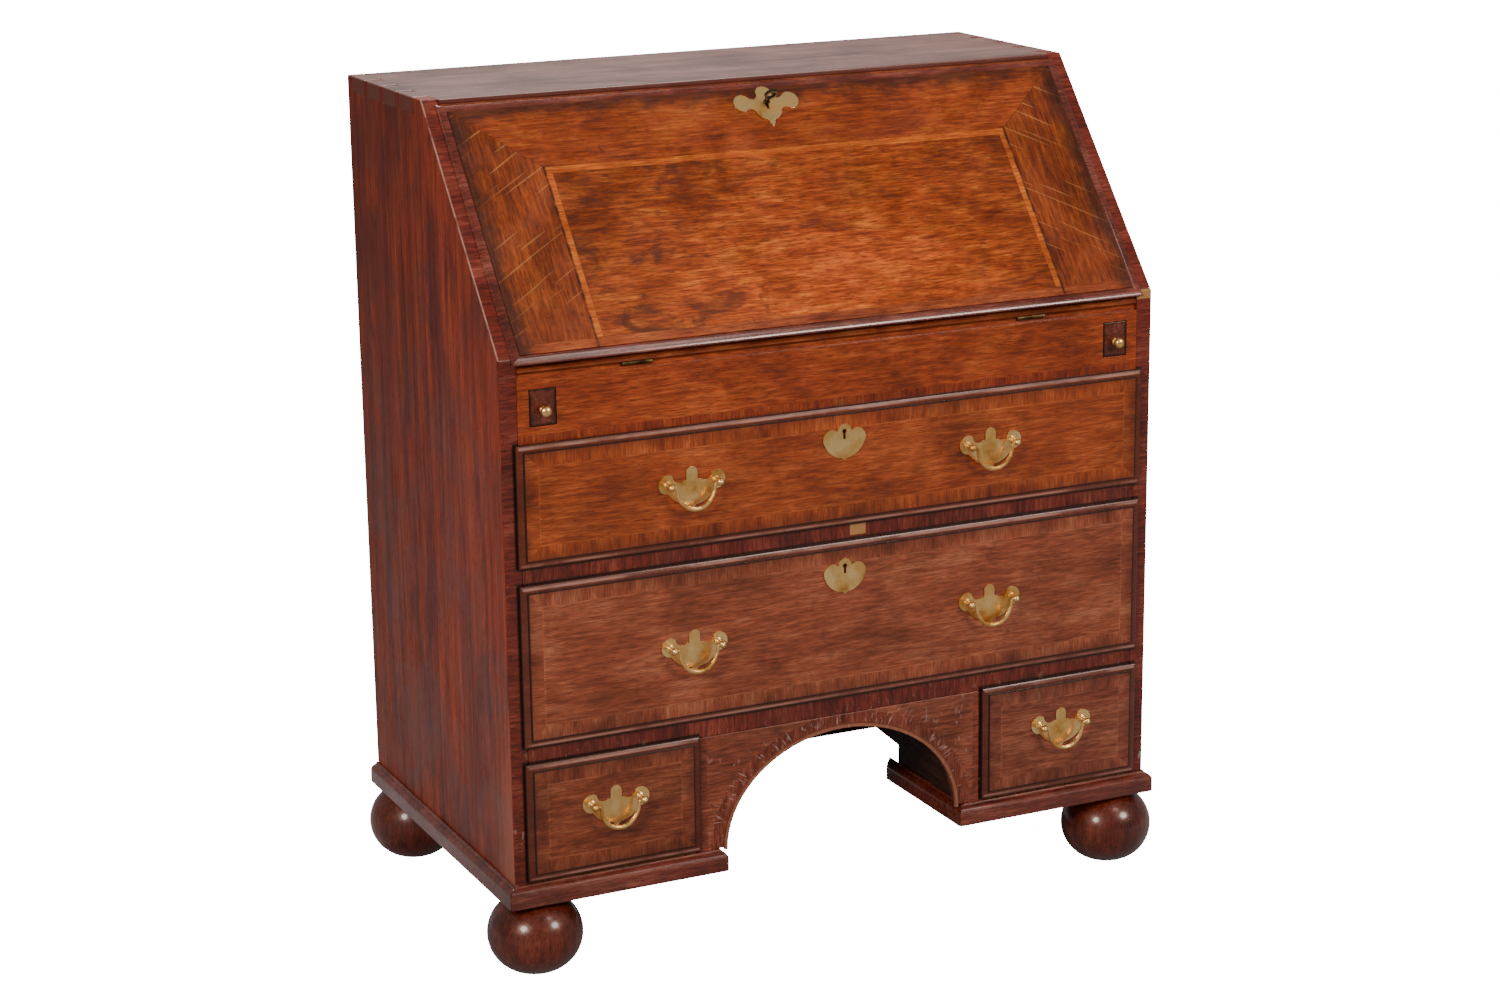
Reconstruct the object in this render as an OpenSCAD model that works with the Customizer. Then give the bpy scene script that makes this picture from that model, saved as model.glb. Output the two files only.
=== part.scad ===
// Slant-front secretary desk: a fall-front bureau with two long drawers, two short
// drawers beside an arched kneehole, and a fitted writing compartment.
// X runs to the right, Y to the back, Z up; the origin is on the floor under the middle.

/* [Case] */
// Width of the case over the side boards
case_w = 900; // [720:1:1100]
// Depth of the case from the front of the rails to the back
case_d = 510; // [470:1:620]
// Height of the top board above the floor
case_h = 1060; // [1020:1:1100]
// Thickness of the side boards
side_t = 22; // [18:0.5:28]
// Thickness of the top board
top_t = 20; // [16:0.5:26]
// Thickness of the back planks
back_t = 12; // [8:0.5:16]
// Thickness of the facings glued on the rails and stiles
facing_t = 2.5; // [1.5:0.5:4]
// Angle of the closed fall above the horizontal
slant_angle = 50; // [47:0.5:53]

/* [Feet and base] */
// Height of a bun foot
foot_h = 97; // [80:1:110]
// Widest radius of a bun foot
foot_r = 60; // [48:0.5:62]
// Height of the base moulding
base_h = 28; // [22:1:34]
// How far the base moulding stands out from the case
base_proud = 11; // [8:0.5:14]

/* [Drawers] */
// Height of the short drawer openings
short_h = 144; // [110:1:170]
// Height of the lower long drawer opening
lower_h = 197; // [160:1:220]
// Height of the upper long drawer opening
upper_h = 144.6; // [120:1:175]
// Thickness of the rails between the drawers
rail_t = 28.6; // [24:0.2:34]
// Height of the frieze rail from the upper drawer opening to the writing floor
frieze_h = 87.2; // [84:0.2:96]
// Thickness of a drawer front, lip included
front_t = 24; // [20:0.5:28]
// How far a drawer front stands out from the rails
lip_t = 8; // [5:0.5:10]
// Thickness of the drawer sides
drawer_side_t = 11; // [8:0.5:14]
// Depth of a long drawer behind the rail fronts
drawer_len = 442; // [380:1:450]
// Depth of a short drawer behind the rail fronts
short_len = 160; // [130:1:165]
// Clearance between a drawer and its opening
drawer_gap = 1; // [0.6:0.1:2]

/* [Kneehole] */
// Half the width of the arch
arch_r = 168; // [140:1:180]
// Height of the springing of the arch above the floor
arch_z = 123; // [110:1:130]
// Rise of the arch above its springing
arch_rise = 139; // [110:1:142]
// Depth of the pedestals
pedestal_d = 180; // [172:1:220]
// Depth of the kneehole to its back board
kneehole_d = 245; // [235:1:300]

/* [Fall] */
// Thickness of the fall
fall_t = 18.4; // [16:0.02:22.2]
// Width of the moulding round the fall
rim_w = 12; // [9:0.5:16]
// Width of the stringing
string_w = 9; // [6:0.5:12]
// Width of the crossbanding at each side of the fall
band_w = 100; // [70:1:130]
// Width of a loper
loper_w = 33.3; // [26:0.1:38]
// Height of a loper
loper_h = 44; // [36:0.1:46]
// Clearance of a loper in the frieze rail
loper_gap = 0.9; // [0.4:0.1:1.2]
// Length of a loper
loper_len = 400; // [360:1:440]

/* [Handles] */
// Distance between the two posts of a handle
post_span = 65; // [56:1:78]
// Distance of the long drawers' handles from the middle
handle_x = 208; // [180:1:240]
// Thickness of the bail rod
bail_d = 5; // [4:0.1:6]
// Thickness of the handle plates
plate_t = 1.5; // [1:0.1:2]

/* [Writing compartment] */
// Distance of the pigeonhole case behind the rail fronts
nest_y = 262; // [258:1:290]
// Thickness of the pigeonhole dividers
nest_t = 8; // [6:0.5:10]
// Width of the cupboard in the middle
cupboard_w = 116; // [100:1:124]
// Height of the inner drawers
inner_h = 60; // [48:1:66]

/* [Hidden] */

$fn = 48;
seam = 0.1;          // glue line between boards that share a node
slide_gap = 0.3;     // running clearance of flat faces
handle_reach = 28;   // from the rail fronts to the front of the handles
foot_in = 36;        // from the case's edges to a foot's axis at the sides
foot_front = 31;     // the same at the front
foot_back = 37;      // the same at the back
front_y = -(case_d - foot_back + foot_r - handle_reach) / 2;

half_w = case_w / 2;
inner_x = half_w - side_t;
back_y = case_d - back_t;
rail_d = 60;         // front to back width of a drawer rail
front_board_t = 20;  // thickness of the frieze rail and the apron
dust_t = 12;
lip_side = 6;        // how far a lipped front covers its opening at the sides
lip_edge = 4;        // and above and below

floor_z = foot_h + base_h + 7;
lower_rail_z = floor_z + short_h;
lower_z = lower_rail_z + rail_t;
middle_rail_z = lower_z + lower_h;
upper_z = middle_rail_z + rail_t;
frieze_z = upper_z + upper_h;
desk_z = frieze_z + frieze_h;
desk_t = 18;
top_z = case_h - top_t;

// The fall turns about a line on its inner face, level with the writing floor.
pivot_y = 4;
tongue_t = 6;        // thickness of the tongue under the nose
nose_cut = 4.7;      // how far the nose stops short of the pivot line
nose_w = 6;          // depth of the moulded nose in front of the board
fall_proud = 4;      // how far the fall's face stands over the side boards
sin_a = sin(slant_angle);
cos_a = cos(slant_angle);
tan_a = tan(slant_angle);
function slant_z(y, v) = desk_z + (y - pivot_y) * tan_a + v / cos_a;
function slant_y(z, v) = pivot_y + (z - desk_z) / tan_a - v / sin_a;

// Case position of a point u up the fall and v out from its inner face
function slant_along_y(u, v) = pivot_y + u * cos_a - v * sin_a;
function slant_along_z(u, v) = desk_z + u * sin_a + v * cos_a;
side_v = fall_t - fall_proud;
top_nose = 6;        // upright edge at the front of the top board
top_front = slant_y(case_h, fall_t);
top_bevel_u = (top_front - pivot_y) * cos_a + (case_h - top_nose - desk_z) * sin_a;
fall_u = top_bevel_u - 1.3;
fall_x = inner_x - 0.8;
rim_x = inner_x + lip_side;

loper_x = inner_x - 15.8 - loper_w;
loper_top = desk_z - fall_t - slide_gap;
loper_z = loper_top - loper_h;
loper_travel = 300;
loper_mid = loper_z + loper_h / 2;
guide_t = 12;

wall_t = 16;
wall_x = arch_r + 9;
stile_x = arch_r + 39;  // edge of the short drawer openings

well_x = 144;
well_y = 100;
well_len = nest_y - 4 - well_y;
cover_t = 8;
cover_travel = 145;
cover_x = well_x + 6;

inner_z = desk_z + inner_h;
cupboard_x = cupboard_w / 2;
door_top = desk_z + 150;

runner_w = 16;
spigot_r = 10;
spigot_h = 24;
bolt_w = 14;
bolt_throw = 9;
bolt_v = [4, 9];     // depth of the fall's bolt from its inner face
key_u = fall_u - 35;
lock_drop = 27;      // from the top of a drawer opening to its keyhole
lock_y = 8;          // front of a drawer's lock behind the rail fronts
body_t = front_t - lip_t;

module blk(x, y, z)
    translate([x[0], y[0], z[0]])
        cube([x[1] - x[0], y[1] - y[0], z[1] - z[0]]);

// Outlines in Y and Z, in X and Z, and in X and Y, made boards along the third axis.
module yz_board(x, points)
    translate([x[0], 0, 0])
        rotate([90, 0, 90])
            linear_extrude(x[1] - x[0])
                polygon(points);

module xz_board(y)
    translate([0, y[1], 0])
        rotate([90, 0, 0])
            linear_extrude(y[1] - y[0])
                children();

module in_case()
    translate([0, front_y, 0])
        children();

// X to the right, Y up the slant from the pivot line, Z out through the fall.
module on_fall()
    in_case()
        translate([0, pivot_y, desk_z])
            rotate([slant_angle, 0, 0])
                children();

module both()
{
    children();
    mirror([1, 0, 0])
        children();
}

// ---- dovetails ----
top_tails = 4;
top_tail_y0 = top_front + 34;
top_pitch = (case_d - 8 - top_tail_y0) / top_tails;

// Tails of the top board over the right side, seen from above.
module top_tail_plan(slack)
    for (i = [0 : top_tails - 1])
        translate([0, top_tail_y0 + i * top_pitch])
            polygon([
                [inner_x - 1, 5 - slack], [half_w + 1, 1 - slack],
                [half_w + 1, top_pitch - 9 + slack], [inner_x - 1, top_pitch - 13 + slack]
            ]);

// Tails of a drawer side, seen from the side, from the lap to the front's inner face.
module drawer_tails(z, h, count, slack)
{
    pitch = h / count;
    wide = pitch * 0.36 + slack;
    narrow = pitch * 0.26 + slack;
    for (i = [0 : count - 1])
        translate([0, z + (i + 0.5) * pitch])
            polygon([[0, -wide], [0, wide], [body_t, narrow], [body_t + 1, narrow],
                [body_t + 1, -narrow], [body_t, -narrow]]);
}

// ---- case ----
module side_board()
    in_case()
        difference()
        {
            yz_board([inner_x, half_w], [
                [facing_t, foot_h], [facing_t, slant_z(facing_t, side_v)],
                [slant_y(case_h, side_v), case_h], [case_d, case_h], [case_d, foot_h]
            ]);
            translate([0, 0, top_z])
                linear_extrude(top_t + 1)
                    top_tail_plan(0);
            foot_spigots(0.2);
        }

module side_left()
    color("#6E3F35")
        mirror([1, 0, 0])
            side_board();

module side_right()
    color("#6E3F35")
        side_board();

module top_board()
    color("#8A6A66")
        in_case()
            difference()
            {
                union()
                {
                    yz_board([-inner_x + seam, inner_x - seam], [
                        [top_front, case_h], [top_front, case_h - top_nose],
                        [top_front + (top_t - top_nose) * tan_a, top_z],
                        [case_d, top_z], [case_d, case_h]
                    ]);
                    both()
                        intersection()
                        {
                            translate([0, 0, top_z])
                                linear_extrude(top_t)
                                    top_tail_plan(-seam);
                            blk([0, half_w], [0, case_d], [top_z, case_h]);
                        }
                }
                fall_bolt_mortise();
            }

// Square pocket, open below, round the slanting path of the fall's bolt
bolt_end_u = fall_u + bolt_throw;
bolt_pocket_y = [slant_along_y(fall_u, bolt_v[1]) - 0.8, slant_along_y(bolt_end_u, bolt_v[0]) + 1];
bolt_pocket_z = slant_along_z(bolt_end_u, bolt_v[1]) + 1;
module fall_bolt_mortise()
    blk([-bolt_w / 2 - 1, bolt_w / 2 + 1], bolt_pocket_y, [top_z - 1, bolt_pocket_z]);

back_planks = 5;
module back_boards()
    color("#5A3A2A")
        in_case()
            for (i = [0 : back_planks - 1])
            {
                w = (2 * inner_x - seam) / back_planks;
                x = -inner_x + i * w;
                blk([x + seam, x + w], [back_y, case_d], [foot_h + 3, top_z - seam]);
            }

hinge_x = 272;
hinge_w = 40;
hinge_leaf = 26;
leaf_t = 1.6;
barrel_r = 3;
pin_r = 1.4;
barrel_room = 3.4;

// Room for the hinge barrels and for the leaves let into the floor.
module hinge_seats()
    both()
    {
        translate([hinge_x - hinge_w / 2 - slide_gap, pivot_y, desk_z])
            rotate([0, 90, 0])
                cylinder(r = barrel_room, h = hinge_w + 2 * slide_gap);
        blk([hinge_x - hinge_w / 2 - seam, hinge_x + hinge_w / 2 + seam],
            [pivot_y, pivot_y + hinge_leaf + seam], [desk_z - leaf_t - seam, desk_z + 1]);
    }

module writing_floor()
    color("#9C6A3E")
        in_case()
            difference()
            {
                blk([-inner_x, inner_x], [front_board_t, back_y], [desk_z - desk_t, desk_z]);
                hinge_seats();
                blk([-well_x, well_x], [well_y, well_y + well_len], [desk_z - desk_t - 1, desk_z + 1]);
                blk([-cover_x, cover_x], [well_y, well_y + well_len + cover_travel + 10],
                    [desk_z - cover_t - slide_gap, desk_z + 1]);
            }

module frieze_rail()
    color("#6B3024")
        in_case()
            difference()
            {
                yz_board([-inner_x, inner_x], [
                    [0, frieze_z], [0, desk_z - tongue_t - slide_gap],
                    [pivot_y + slide_gap, desk_z - tongue_t - slide_gap], [pivot_y + slide_gap, desk_z],
                    [front_board_t, desk_z], [front_board_t, frieze_z]
                ]);
                both()
                    blk([loper_x - loper_gap, loper_x + loper_w + loper_gap], [-1, front_board_t + 1],
                        [loper_z - loper_gap, loper_top + loper_gap]);
                hinge_seats();
                bolt_mortise(frieze_z);
            }

module loper_housings()
    color("#7A5236")
        in_case()
            both()
            {
                difference()
                {
                    blk([loper_x - slide_gap - guide_t, loper_x - slide_gap], [front_board_t, back_y],
                        [frieze_z + dust_t, desk_z - desk_t]);
                    loper_peg(seam);
                }
                loper_peg(0);
                blk([loper_x, loper_x + loper_w], [front_board_t, back_y],
                    [frieze_z + dust_t, loper_z - slide_gap]);
                blk([loper_x + loper_w + slide_gap, inner_x], [front_board_t, back_y],
                    [frieze_z + dust_t, desk_z - desk_t]);
            }

peg_y = 60;
peg_r = 3;
module loper_peg(slack)
    translate([loper_x - guide_t - slide_gap - (slack > 0 ? 1 : 0), peg_y, loper_mid])
        rotate([0, 90, 0])
            cylinder(r = peg_r + slack, h = guide_t + 5 + (slack > 0 ? 1 : 0));

module drawer_rail(z)
    difference()
    {
        blk([-inner_x, inner_x], [facing_t, rail_d], [z, z + rail_t]);
        bolt_mortise(z);
    }

module drawer_rails()
    color("#7A4A30")
        in_case()
        {
            drawer_rail(lower_rail_z);
            drawer_rail(middle_rail_z);
        }

module dust_boards()
    color("#94683F")
        in_case()
        {
            blk([-inner_x, inner_x], [front_board_t, back_y], [frieze_z, frieze_z + dust_t]);
            for (z = [lower_rail_z, middle_rail_z] + [1, 1] * (rail_t - dust_t) / 2)
                blk([-inner_x + runner_w, inner_x - runner_w], [rail_d, back_y], [z, z + dust_t]);
        }

module arch_outline(r, rise)
    polygon([for (a = [0 : 5 : 180]) [r * cos(a), arch_z + rise * sin(a)]]);

module arch_apron()
    color("#6B3024")
        in_case()
            difference()
            {
                blk([-stile_x, stile_x], [facing_t, front_board_t], [foot_h, lower_rail_z]);
                xz_board([-1, front_board_t + 1])
                    arch_outline(arch_r, arch_rise);
                blk([-wall_x, wall_x], [-1, front_board_t + 1], [foot_h - 1, foot_h + base_h]);
            }

bead_w = 4;
bead_proud = 2.5;
module arch_bead()
    color("#8A4B30")
        in_case()
            xz_board([-bead_proud, facing_t])
                difference()
                {
                    union()
                    {
                        arch_outline(arch_r, arch_rise);
                        translate([-arch_r, foot_h + base_h])
                            square([2 * arch_r, arch_z - foot_h - base_h + 3]);
                    }
                    arch_outline(arch_r - bead_w, arch_rise - bead_w);
                    translate([bead_w - arch_r, 0])
                        square([2 * (arch_r - bead_w), arch_z + seam]);
                }

panel_t = 12;
panel_drop = 122;    // height of the kneehole's back board
module kneehole_panels()
    color("#5E3326")
        in_case()
        {
            both()
            {
                yz_board([wall_x, wall_x + wall_t], [
                    [front_board_t, foot_h], [front_board_t, lower_rail_z], [kneehole_d, lower_rail_z],
                    [kneehole_d, lower_rail_z - panel_drop], [pedestal_d, lower_rail_z - panel_drop - 5],
                    [pedestal_d, foot_h]
                ]);
                blk([wall_x + wall_t + seam, inner_x], [pedestal_d - panel_t, pedestal_d],
                    [floor_z + seam, lower_rail_z]);
            }
            blk([-wall_x - wall_t, wall_x + wall_t], [kneehole_d + seam, kneehole_d + panel_t],
                [lower_rail_z - panel_drop, lower_rail_z]);
        }

floor_t = 20;
module pedestal_floors()
    color("#7A5236")
        in_case()
            both()
            {
                blk([stile_x, inner_x], [0, front_board_t], [foot_h, floor_z]);
                difference()
                {
                    blk([wall_x + wall_t, inner_x], [front_board_t + seam, pedestal_d],
                        [floor_z - floor_t, floor_z]);
                    foot_spigots(0.2);
                }
            }

// The outline of the base moulding: out from the case, and up.
module base_outline()
    polygon(concat(
        [[0, foot_h], [base_proud, foot_h]],
        [for (a = [0 : 15 : 90]) [
            3 + (base_proud - 3) * cos(a), foot_h + base_h - base_proud + (base_proud - 3) * sin(a)]],
        [[3, foot_h + base_h], [0, foot_h + base_h]]
    ));

return_end = 205;
module base_mouldings()
    color("#5A2A1E")
        in_case()
            both()
            {
                // Along the side
                intersection()
                {
                    translate([half_w, case_d, 0])
                        rotate([90, 0, 0])
                            linear_extrude(case_d + base_proud)
                                base_outline();
                    linear_extrude(case_h)
                        polygon([[half_w, seam], [half_w, case_d], [half_w + base_proud, case_d],
                            [half_w + base_proud, seam - base_proud]]);
                }
                // Along the front of the pedestal
                intersection()
                {
                    translate([wall_x - base_proud, 0, 0])
                        rotate([90, 0, 90])
                            linear_extrude(half_w + 2 * base_proud - wall_x)
                                mirror([1, 0])
                                    base_outline();
                    linear_extrude(case_h)
                        polygon([[wall_x - base_proud, -base_proud], [wall_x, 0], [half_w, 0],
                            [half_w + base_proud, -base_proud]]);
                }
                // Back into the kneehole
                intersection()
                {
                    translate([wall_x, return_end, 0])
                        rotate([90, 0, 0])
                            linear_extrude(return_end + base_proud)
                                mirror([1, 0])
                                    base_outline();
                    linear_extrude(case_h)
                        polygon([[wall_x, seam], [wall_x, return_end],
                            [wall_x - base_proud, return_end - base_proud],
                            [wall_x - base_proud, seam - base_proud]]);
                }
            }

module foot_places()
    for (y = [foot_front, case_d - foot_back])
        translate([half_w - foot_in, y, 0])
            children();

module foot_spigots(slack)
    foot_places()
        translate([0, 0, foot_h - 1])
            cylinder(r = spigot_r + slack, h = spigot_h + 1 + slack);

foot_round = foot_h / 1.94;    // radius of the foot's outline
module bun_feet()
    color("#5F2B1E")
        in_case()
            both()
                foot_places()
                {
                    rotate_extrude($fn = 96)
                        intersection()
                        {
                            translate([foot_r - foot_round, foot_h / 2])
                                circle(r = foot_round);
                            square([foot_r + 1, foot_h]);
                        }
                    translate([0, 0, foot_h - 1])
                        cylinder(r = spigot_r, h = spigot_h + 1);
                }

block_w = 48;
module inner_framing()
    color("#A57B4C")
        in_case()
        {
            both()
            {
                // Runners of the long drawers
                for (z = [lower_rail_z, middle_rail_z])
                    blk([inner_x - runner_w + seam, inner_x], [rail_d + seam, back_y], [z, z + rail_t]);
                // Guide beside the short drawer
                blk([wall_x + wall_t + seam, stile_x], [front_board_t + seam, pedestal_d - panel_t],
                    [floor_z, lower_rail_z]);
                // Blocks over the feet
                difference()
                {
                    blk([inner_x - block_w, inner_x], [front_board_t + seam, front_board_t + block_w],
                        [foot_h, floor_z - floor_t]);
                    foot_spigots(0.2);
                }
                difference()
                {
                    blk([inner_x - block_w, inner_x], [back_y - block_w, back_y], [foot_h, foot_h + block_w]);
                    foot_spigots(0.2);
                }
                // Sides of the well
                blk([well_x + seam, well_x + 10], [well_y - 10, well_y + well_len + 10],
                    [frieze_z + dust_t, desk_z - desk_t]);
            }
            // Ends of the well
            for (y = [well_y - 10, well_y + well_len])
                blk([-well_x, well_x], [y, y + 10], [frieze_z + dust_t, desk_z - desk_t]);
        }

module edge_facings()
    color("#7A3326")
        in_case()
        {
            both()
            {
                yz_board([inner_x + seam, half_w], [
                    [0, foot_h], [0, slant_z(0, side_v)],
                    [facing_t, slant_z(facing_t, side_v)], [facing_t, foot_h]
                ]);
            }
            for (z = [lower_rail_z, middle_rail_z])
                blk([-inner_x, inner_x], [0, facing_t], [z + seam, z + rail_t]);
            xz_board([0, facing_t])
                difference()
                {
                    translate([-stile_x, foot_h])
                        square([2 * stile_x, lower_rail_z - foot_h]);
                    arch_outline(arch_r + seam, arch_rise + seam);
                    translate([-wall_x, 0])
                        square([2 * wall_x, foot_h + base_h]);
                }
        }

// ---- writing compartment ----
nest_x = inner_x - 0.5;
nest_top = top_z - 0.5;
hole_x = (cupboard_x + nest_t + nest_x) / 2;    // divider between two pigeonholes
module pigeonhole_case()
    color("#A87440")
        in_case()
        {
            blk([-nest_x, nest_x], [back_y - 8, back_y], [desk_z, nest_top]);
            both()
            {
                // Uprights beside the cupboard
                blk([cupboard_x, cupboard_x + nest_t], [nest_y, back_y - 8], [desk_z, nest_top]);
                // Shelf over the inner drawer
                blk([cupboard_x + nest_t, nest_x], [nest_y, back_y - 8], [inner_z, inner_z + nest_t]);
                // Divider and end of the pigeonholes
                blk([hole_x - nest_t / 2, hole_x + nest_t / 2], [nest_y, back_y - 8],
                    [inner_z + nest_t - 1, nest_top]);
                blk([nest_x - nest_t, nest_x], [nest_y, back_y - 8], [desk_z, nest_top]);
            }
            blk([-cupboard_x, cupboard_x], [nest_y, back_y - 8], [door_top, door_top + nest_t]);
            // Hinge pins of the door
            for (z = [desk_z, door_top - door_pin_len])
                translate([door_pin_x, door_pin_y, z])
                    cylinder(r = door_pin_r, h = door_pin_len);
        }

door_t = 12;
door_pin_r = 1.5;
door_pin_len = 8;
door_pin_x = -cupboard_x + 7;
door_pin_y = nest_y + door_t / 2;
module prospect_door()
    color("#8E5430")
        in_case()
        {
            low = desk_z + slide_gap * 2;
            high = door_top - slide_gap * 2;
            difference()
            {
                union()
                {
                    blk([door_pin_x, cupboard_x - 0.6], [nest_y, nest_y + door_t], [low, high]);
                    translate([door_pin_x, door_pin_y, low])
                        cylinder(r = door_t / 2, h = high - low);
                    translate([cupboard_x - 12, nest_y + 1, (low + high) / 2])
                        rotate([90, 0, 0])
                            inner_knob();
                }
                // Sunk panel
                blk([-cupboard_x + 24, cupboard_x - 24], [nest_y - 1, nest_y + 3], [low + 22, high - 22]);
                for (z = [desk_z - 1, door_top - door_pin_len - 1])
                    translate([door_pin_x, door_pin_y, z])
                        cylinder(r = door_pin_r + 0.1, h = door_pin_len + 2);
            }
        }

module inner_knob()
    rotate_extrude()
        polygon(concat(
            [[0, 0], [2.2, 0], [2.2, 5]],
            [for (a = [-40 : 20 : 80]) [5 * cos(a), 8 + 4 * sin(a)]],
            [[0, 12]]
        ));

inner_len = 205;
module inner_drawer()
{
    x = [cupboard_x + nest_t + 0.6, nest_x - nest_t - 0.6];
    z = [desk_z + slide_gap, inner_z - 0.6];
    difference()
    {
        blk(x, [nest_y, nest_y + inner_len], z);
        blk(x + [6, -6], [nest_y + 10, nest_y + inner_len - 6], [z[0] + 5, z[1] + 1]);
    }
    translate([(x[0] + x[1]) / 2, nest_y + 1, (z[0] + z[1]) / 2])
        rotate([90, 0, 0])
            inner_knob();
}

module inner_drawer_left()
    color("#8E5430")
        in_case()
            mirror([1, 0, 0])
                inner_drawer();

module inner_drawer_right()
    color("#8E5430")
        in_case()
            inner_drawer();

valance_t = 6;
module valance(x0, x1)
    xz_board([nest_y + 2, nest_y + 2 + valance_t])
        difference()
        {
            translate([x0, nest_top - 34])
                square([x1 - x0, 34 - seam]);
            for (f = [0.27, 0.73])
                translate([x0 + (x1 - x0) * f, nest_top - 34])
                    circle(r = (x1 - x0) * 0.2);
        }

module pigeonhole_valances()
    color("#8E5430")
        in_case()
        {
            both()
            {
                valance(cupboard_x + nest_t + seam, hole_x - nest_t / 2 - seam);
                valance(hole_x + nest_t / 2 + seam, nest_x - nest_t - seam);
            }
            valance(-cupboard_x + seam, cupboard_x - seam);
        }

module well_cover()
    color("#A87440")
        in_case()
            difference()
            {
                blk([-cover_x + 0.4, cover_x - 0.4], [well_y + 0.4, well_y + well_len - 0.4],
                    [desk_z - cover_t, desk_z - slide_gap]);
                // Finger hollow
                translate([0, well_y + 24, desk_z - 4])
                    cylinder(r = 12, h = 5);
            }

// ---- hinges of the fall ----
knuckle = hinge_w / 3;
module hinge_case_leaves()
    color("#B8924C")
        in_case()
            both()
            {
                difference()
                {
                    union()
                    {
                        blk([hinge_x - hinge_w / 2, hinge_x + hinge_w / 2],
                            [pivot_y + barrel_room + seam, pivot_y + hinge_leaf], [desk_z - leaf_t, desk_z]);
                        for (side = [-1, 1])
                            translate([hinge_x + side * knuckle, 0, 0])
                            {
                                blk([seam - knuckle / 2, knuckle / 2 - seam],
                                    [pivot_y, pivot_y + hinge_leaf / 2], [desk_z - leaf_t, desk_z]);
                                translate([seam - knuckle / 2, pivot_y, desk_z])
                                    rotate([0, 90, 0])
                                        cylinder(r = barrel_r, h = knuckle - 2 * seam);
                            }
                    }
                    hinge_pin(pin_r + seam, 1);
                }
                hinge_pin(pin_r, 0);
            }

module hinge_pin(r, over)
    translate([hinge_x - hinge_w / 2 - over, pivot_y, desk_z])
        rotate([0, 90, 0])
            cylinder(r = r, h = hinge_w + 2 * over);

module hinge_fall_leaves()
    color("#B8924C")
        on_fall()
            both()
                translate([hinge_x, 0, 0])
                    difference()
                    {
                        union()
                        {
                            blk([-hinge_w / 2, hinge_w / 2], [barrel_room + seam, hinge_leaf], [0, leaf_t]);
                            blk([seam - knuckle / 2, knuckle / 2 - seam], [0, hinge_leaf / 2], [0, leaf_t]);
                            translate([seam - knuckle / 2, 0, 0])
                                rotate([0, 90, 0])
                                    cylinder(r = barrel_r, h = knuckle - 2 * seam);
                        }
                        translate([-knuckle, 0, 0])
                            rotate([0, 90, 0])
                                cylinder(r = pin_r + seam, h = 2 * knuckle);
                    }

// ---- fall ----
veneer_t = 2;
face_v = fall_t - veneer_t;
lock_x = 32;
lock_depth = 11;
module fall_board()
    color("#8A4A2A")
        on_fall()
            difference()
            {
                yz_board([-fall_x, fall_x], [
                    [0, 0], [fall_u, 0], [fall_u, face_v],
                    [nose_cut + nose_w, face_v], [nose_cut + nose_w, tongue_t], [0, tongue_t]
                ]);
                both()
                {
                    translate([hinge_x - hinge_w / 2 - slide_gap, 0, 0])
                        rotate([0, 90, 0])
                            cylinder(r = barrel_room, h = hinge_w + 2 * slide_gap);
                    blk([hinge_x - hinge_w / 2 - seam, hinge_x + hinge_w / 2 + seam], [-1, hinge_leaf + seam],
                        [-1, leaf_t + seam]);
                }
                blk([-lock_x, lock_x], [key_u - 12, fall_u + 1], [-1, lock_depth]);
                translate([0, key_u, 0])
                    cylinder(r = 6, h = fall_t);
            }

// Half the outline of a lipped edge with a thumbnail moulding: a fillet, then a quarter round.
// It is given from the middle out to the edge, over a face at height 0.
function thumbnail(edge, w, drop) = concat(
    [[0, 0], [edge - w, 0], [edge - w, -1.2]],
    [for (a = [90 : -15 : 0]) [edge - (w - 1) * (1 - cos(a)), -1.2 - (drop - 1.2) * (1 - sin(a))]]
);

rim_drop = fall_proud - slide_gap;
module rim_strip(long, edge)
    rotate([90, 0, 0])
        translate([0, 0, -long])
            linear_extrude(2 * long)
                difference()
                {
                    polygon(concat(thumbnail(edge, rim_w, rim_drop),
                        [[edge, -rim_drop - seam], [0, -rim_drop - seam]]));
                    translate([-1, -fall_t])
                        square([edge - rim_w + 1, fall_t + 1]);
                }

// The nose's round underside, which carries the bottom strip down to the tongue
nose_low = tongue_t + seam;
nose_mid = fall_t - rim_drop;
nose_start = nose_cut + 0.2;
nose_back = nose_cut + nose_w - seam;
module fall_nose()
    yz_board([0.3 - fall_x, fall_x - 0.3], concat(
        [[nose_back, nose_mid + 0.9], [nose_start + 2, nose_mid + 0.9], [nose_start, nose_mid + 0.2]],
        [for (a = [0 : 15 : 90]) [nose_start + 3.8 * (1 - cos(a)), nose_mid - (nose_mid - nose_low) * sin(a)]],
        [[nose_back, nose_low]]
    ));

rim_mid = (fall_u + nose_cut) / 2;
rim_half = (fall_u - nose_cut) / 2;
module fall_moulding()
    color("#6B3024")
        on_fall()
            difference()
            {
                translate([0, rim_mid, fall_t])
                {
                    both()
                        intersection()
                        {
                            rim_strip(rim_half, rim_x);
                            rim_wedge(rim_x, rim_half, 0);
                        }
                    for (turn = [0, 1])
                        mirror([0, turn, 0])
                            intersection()
                            {
                                rotate(90)
                                    rim_strip(rim_x, rim_half);
                                rim_wedge(rim_x, rim_half, 1);
                            }
                }
                fall_nose();
                // The board that it is glued round
                blk([-fall_x, fall_x], [nose_cut + nose_w, fall_u], [-1, face_v]);
            }

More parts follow.
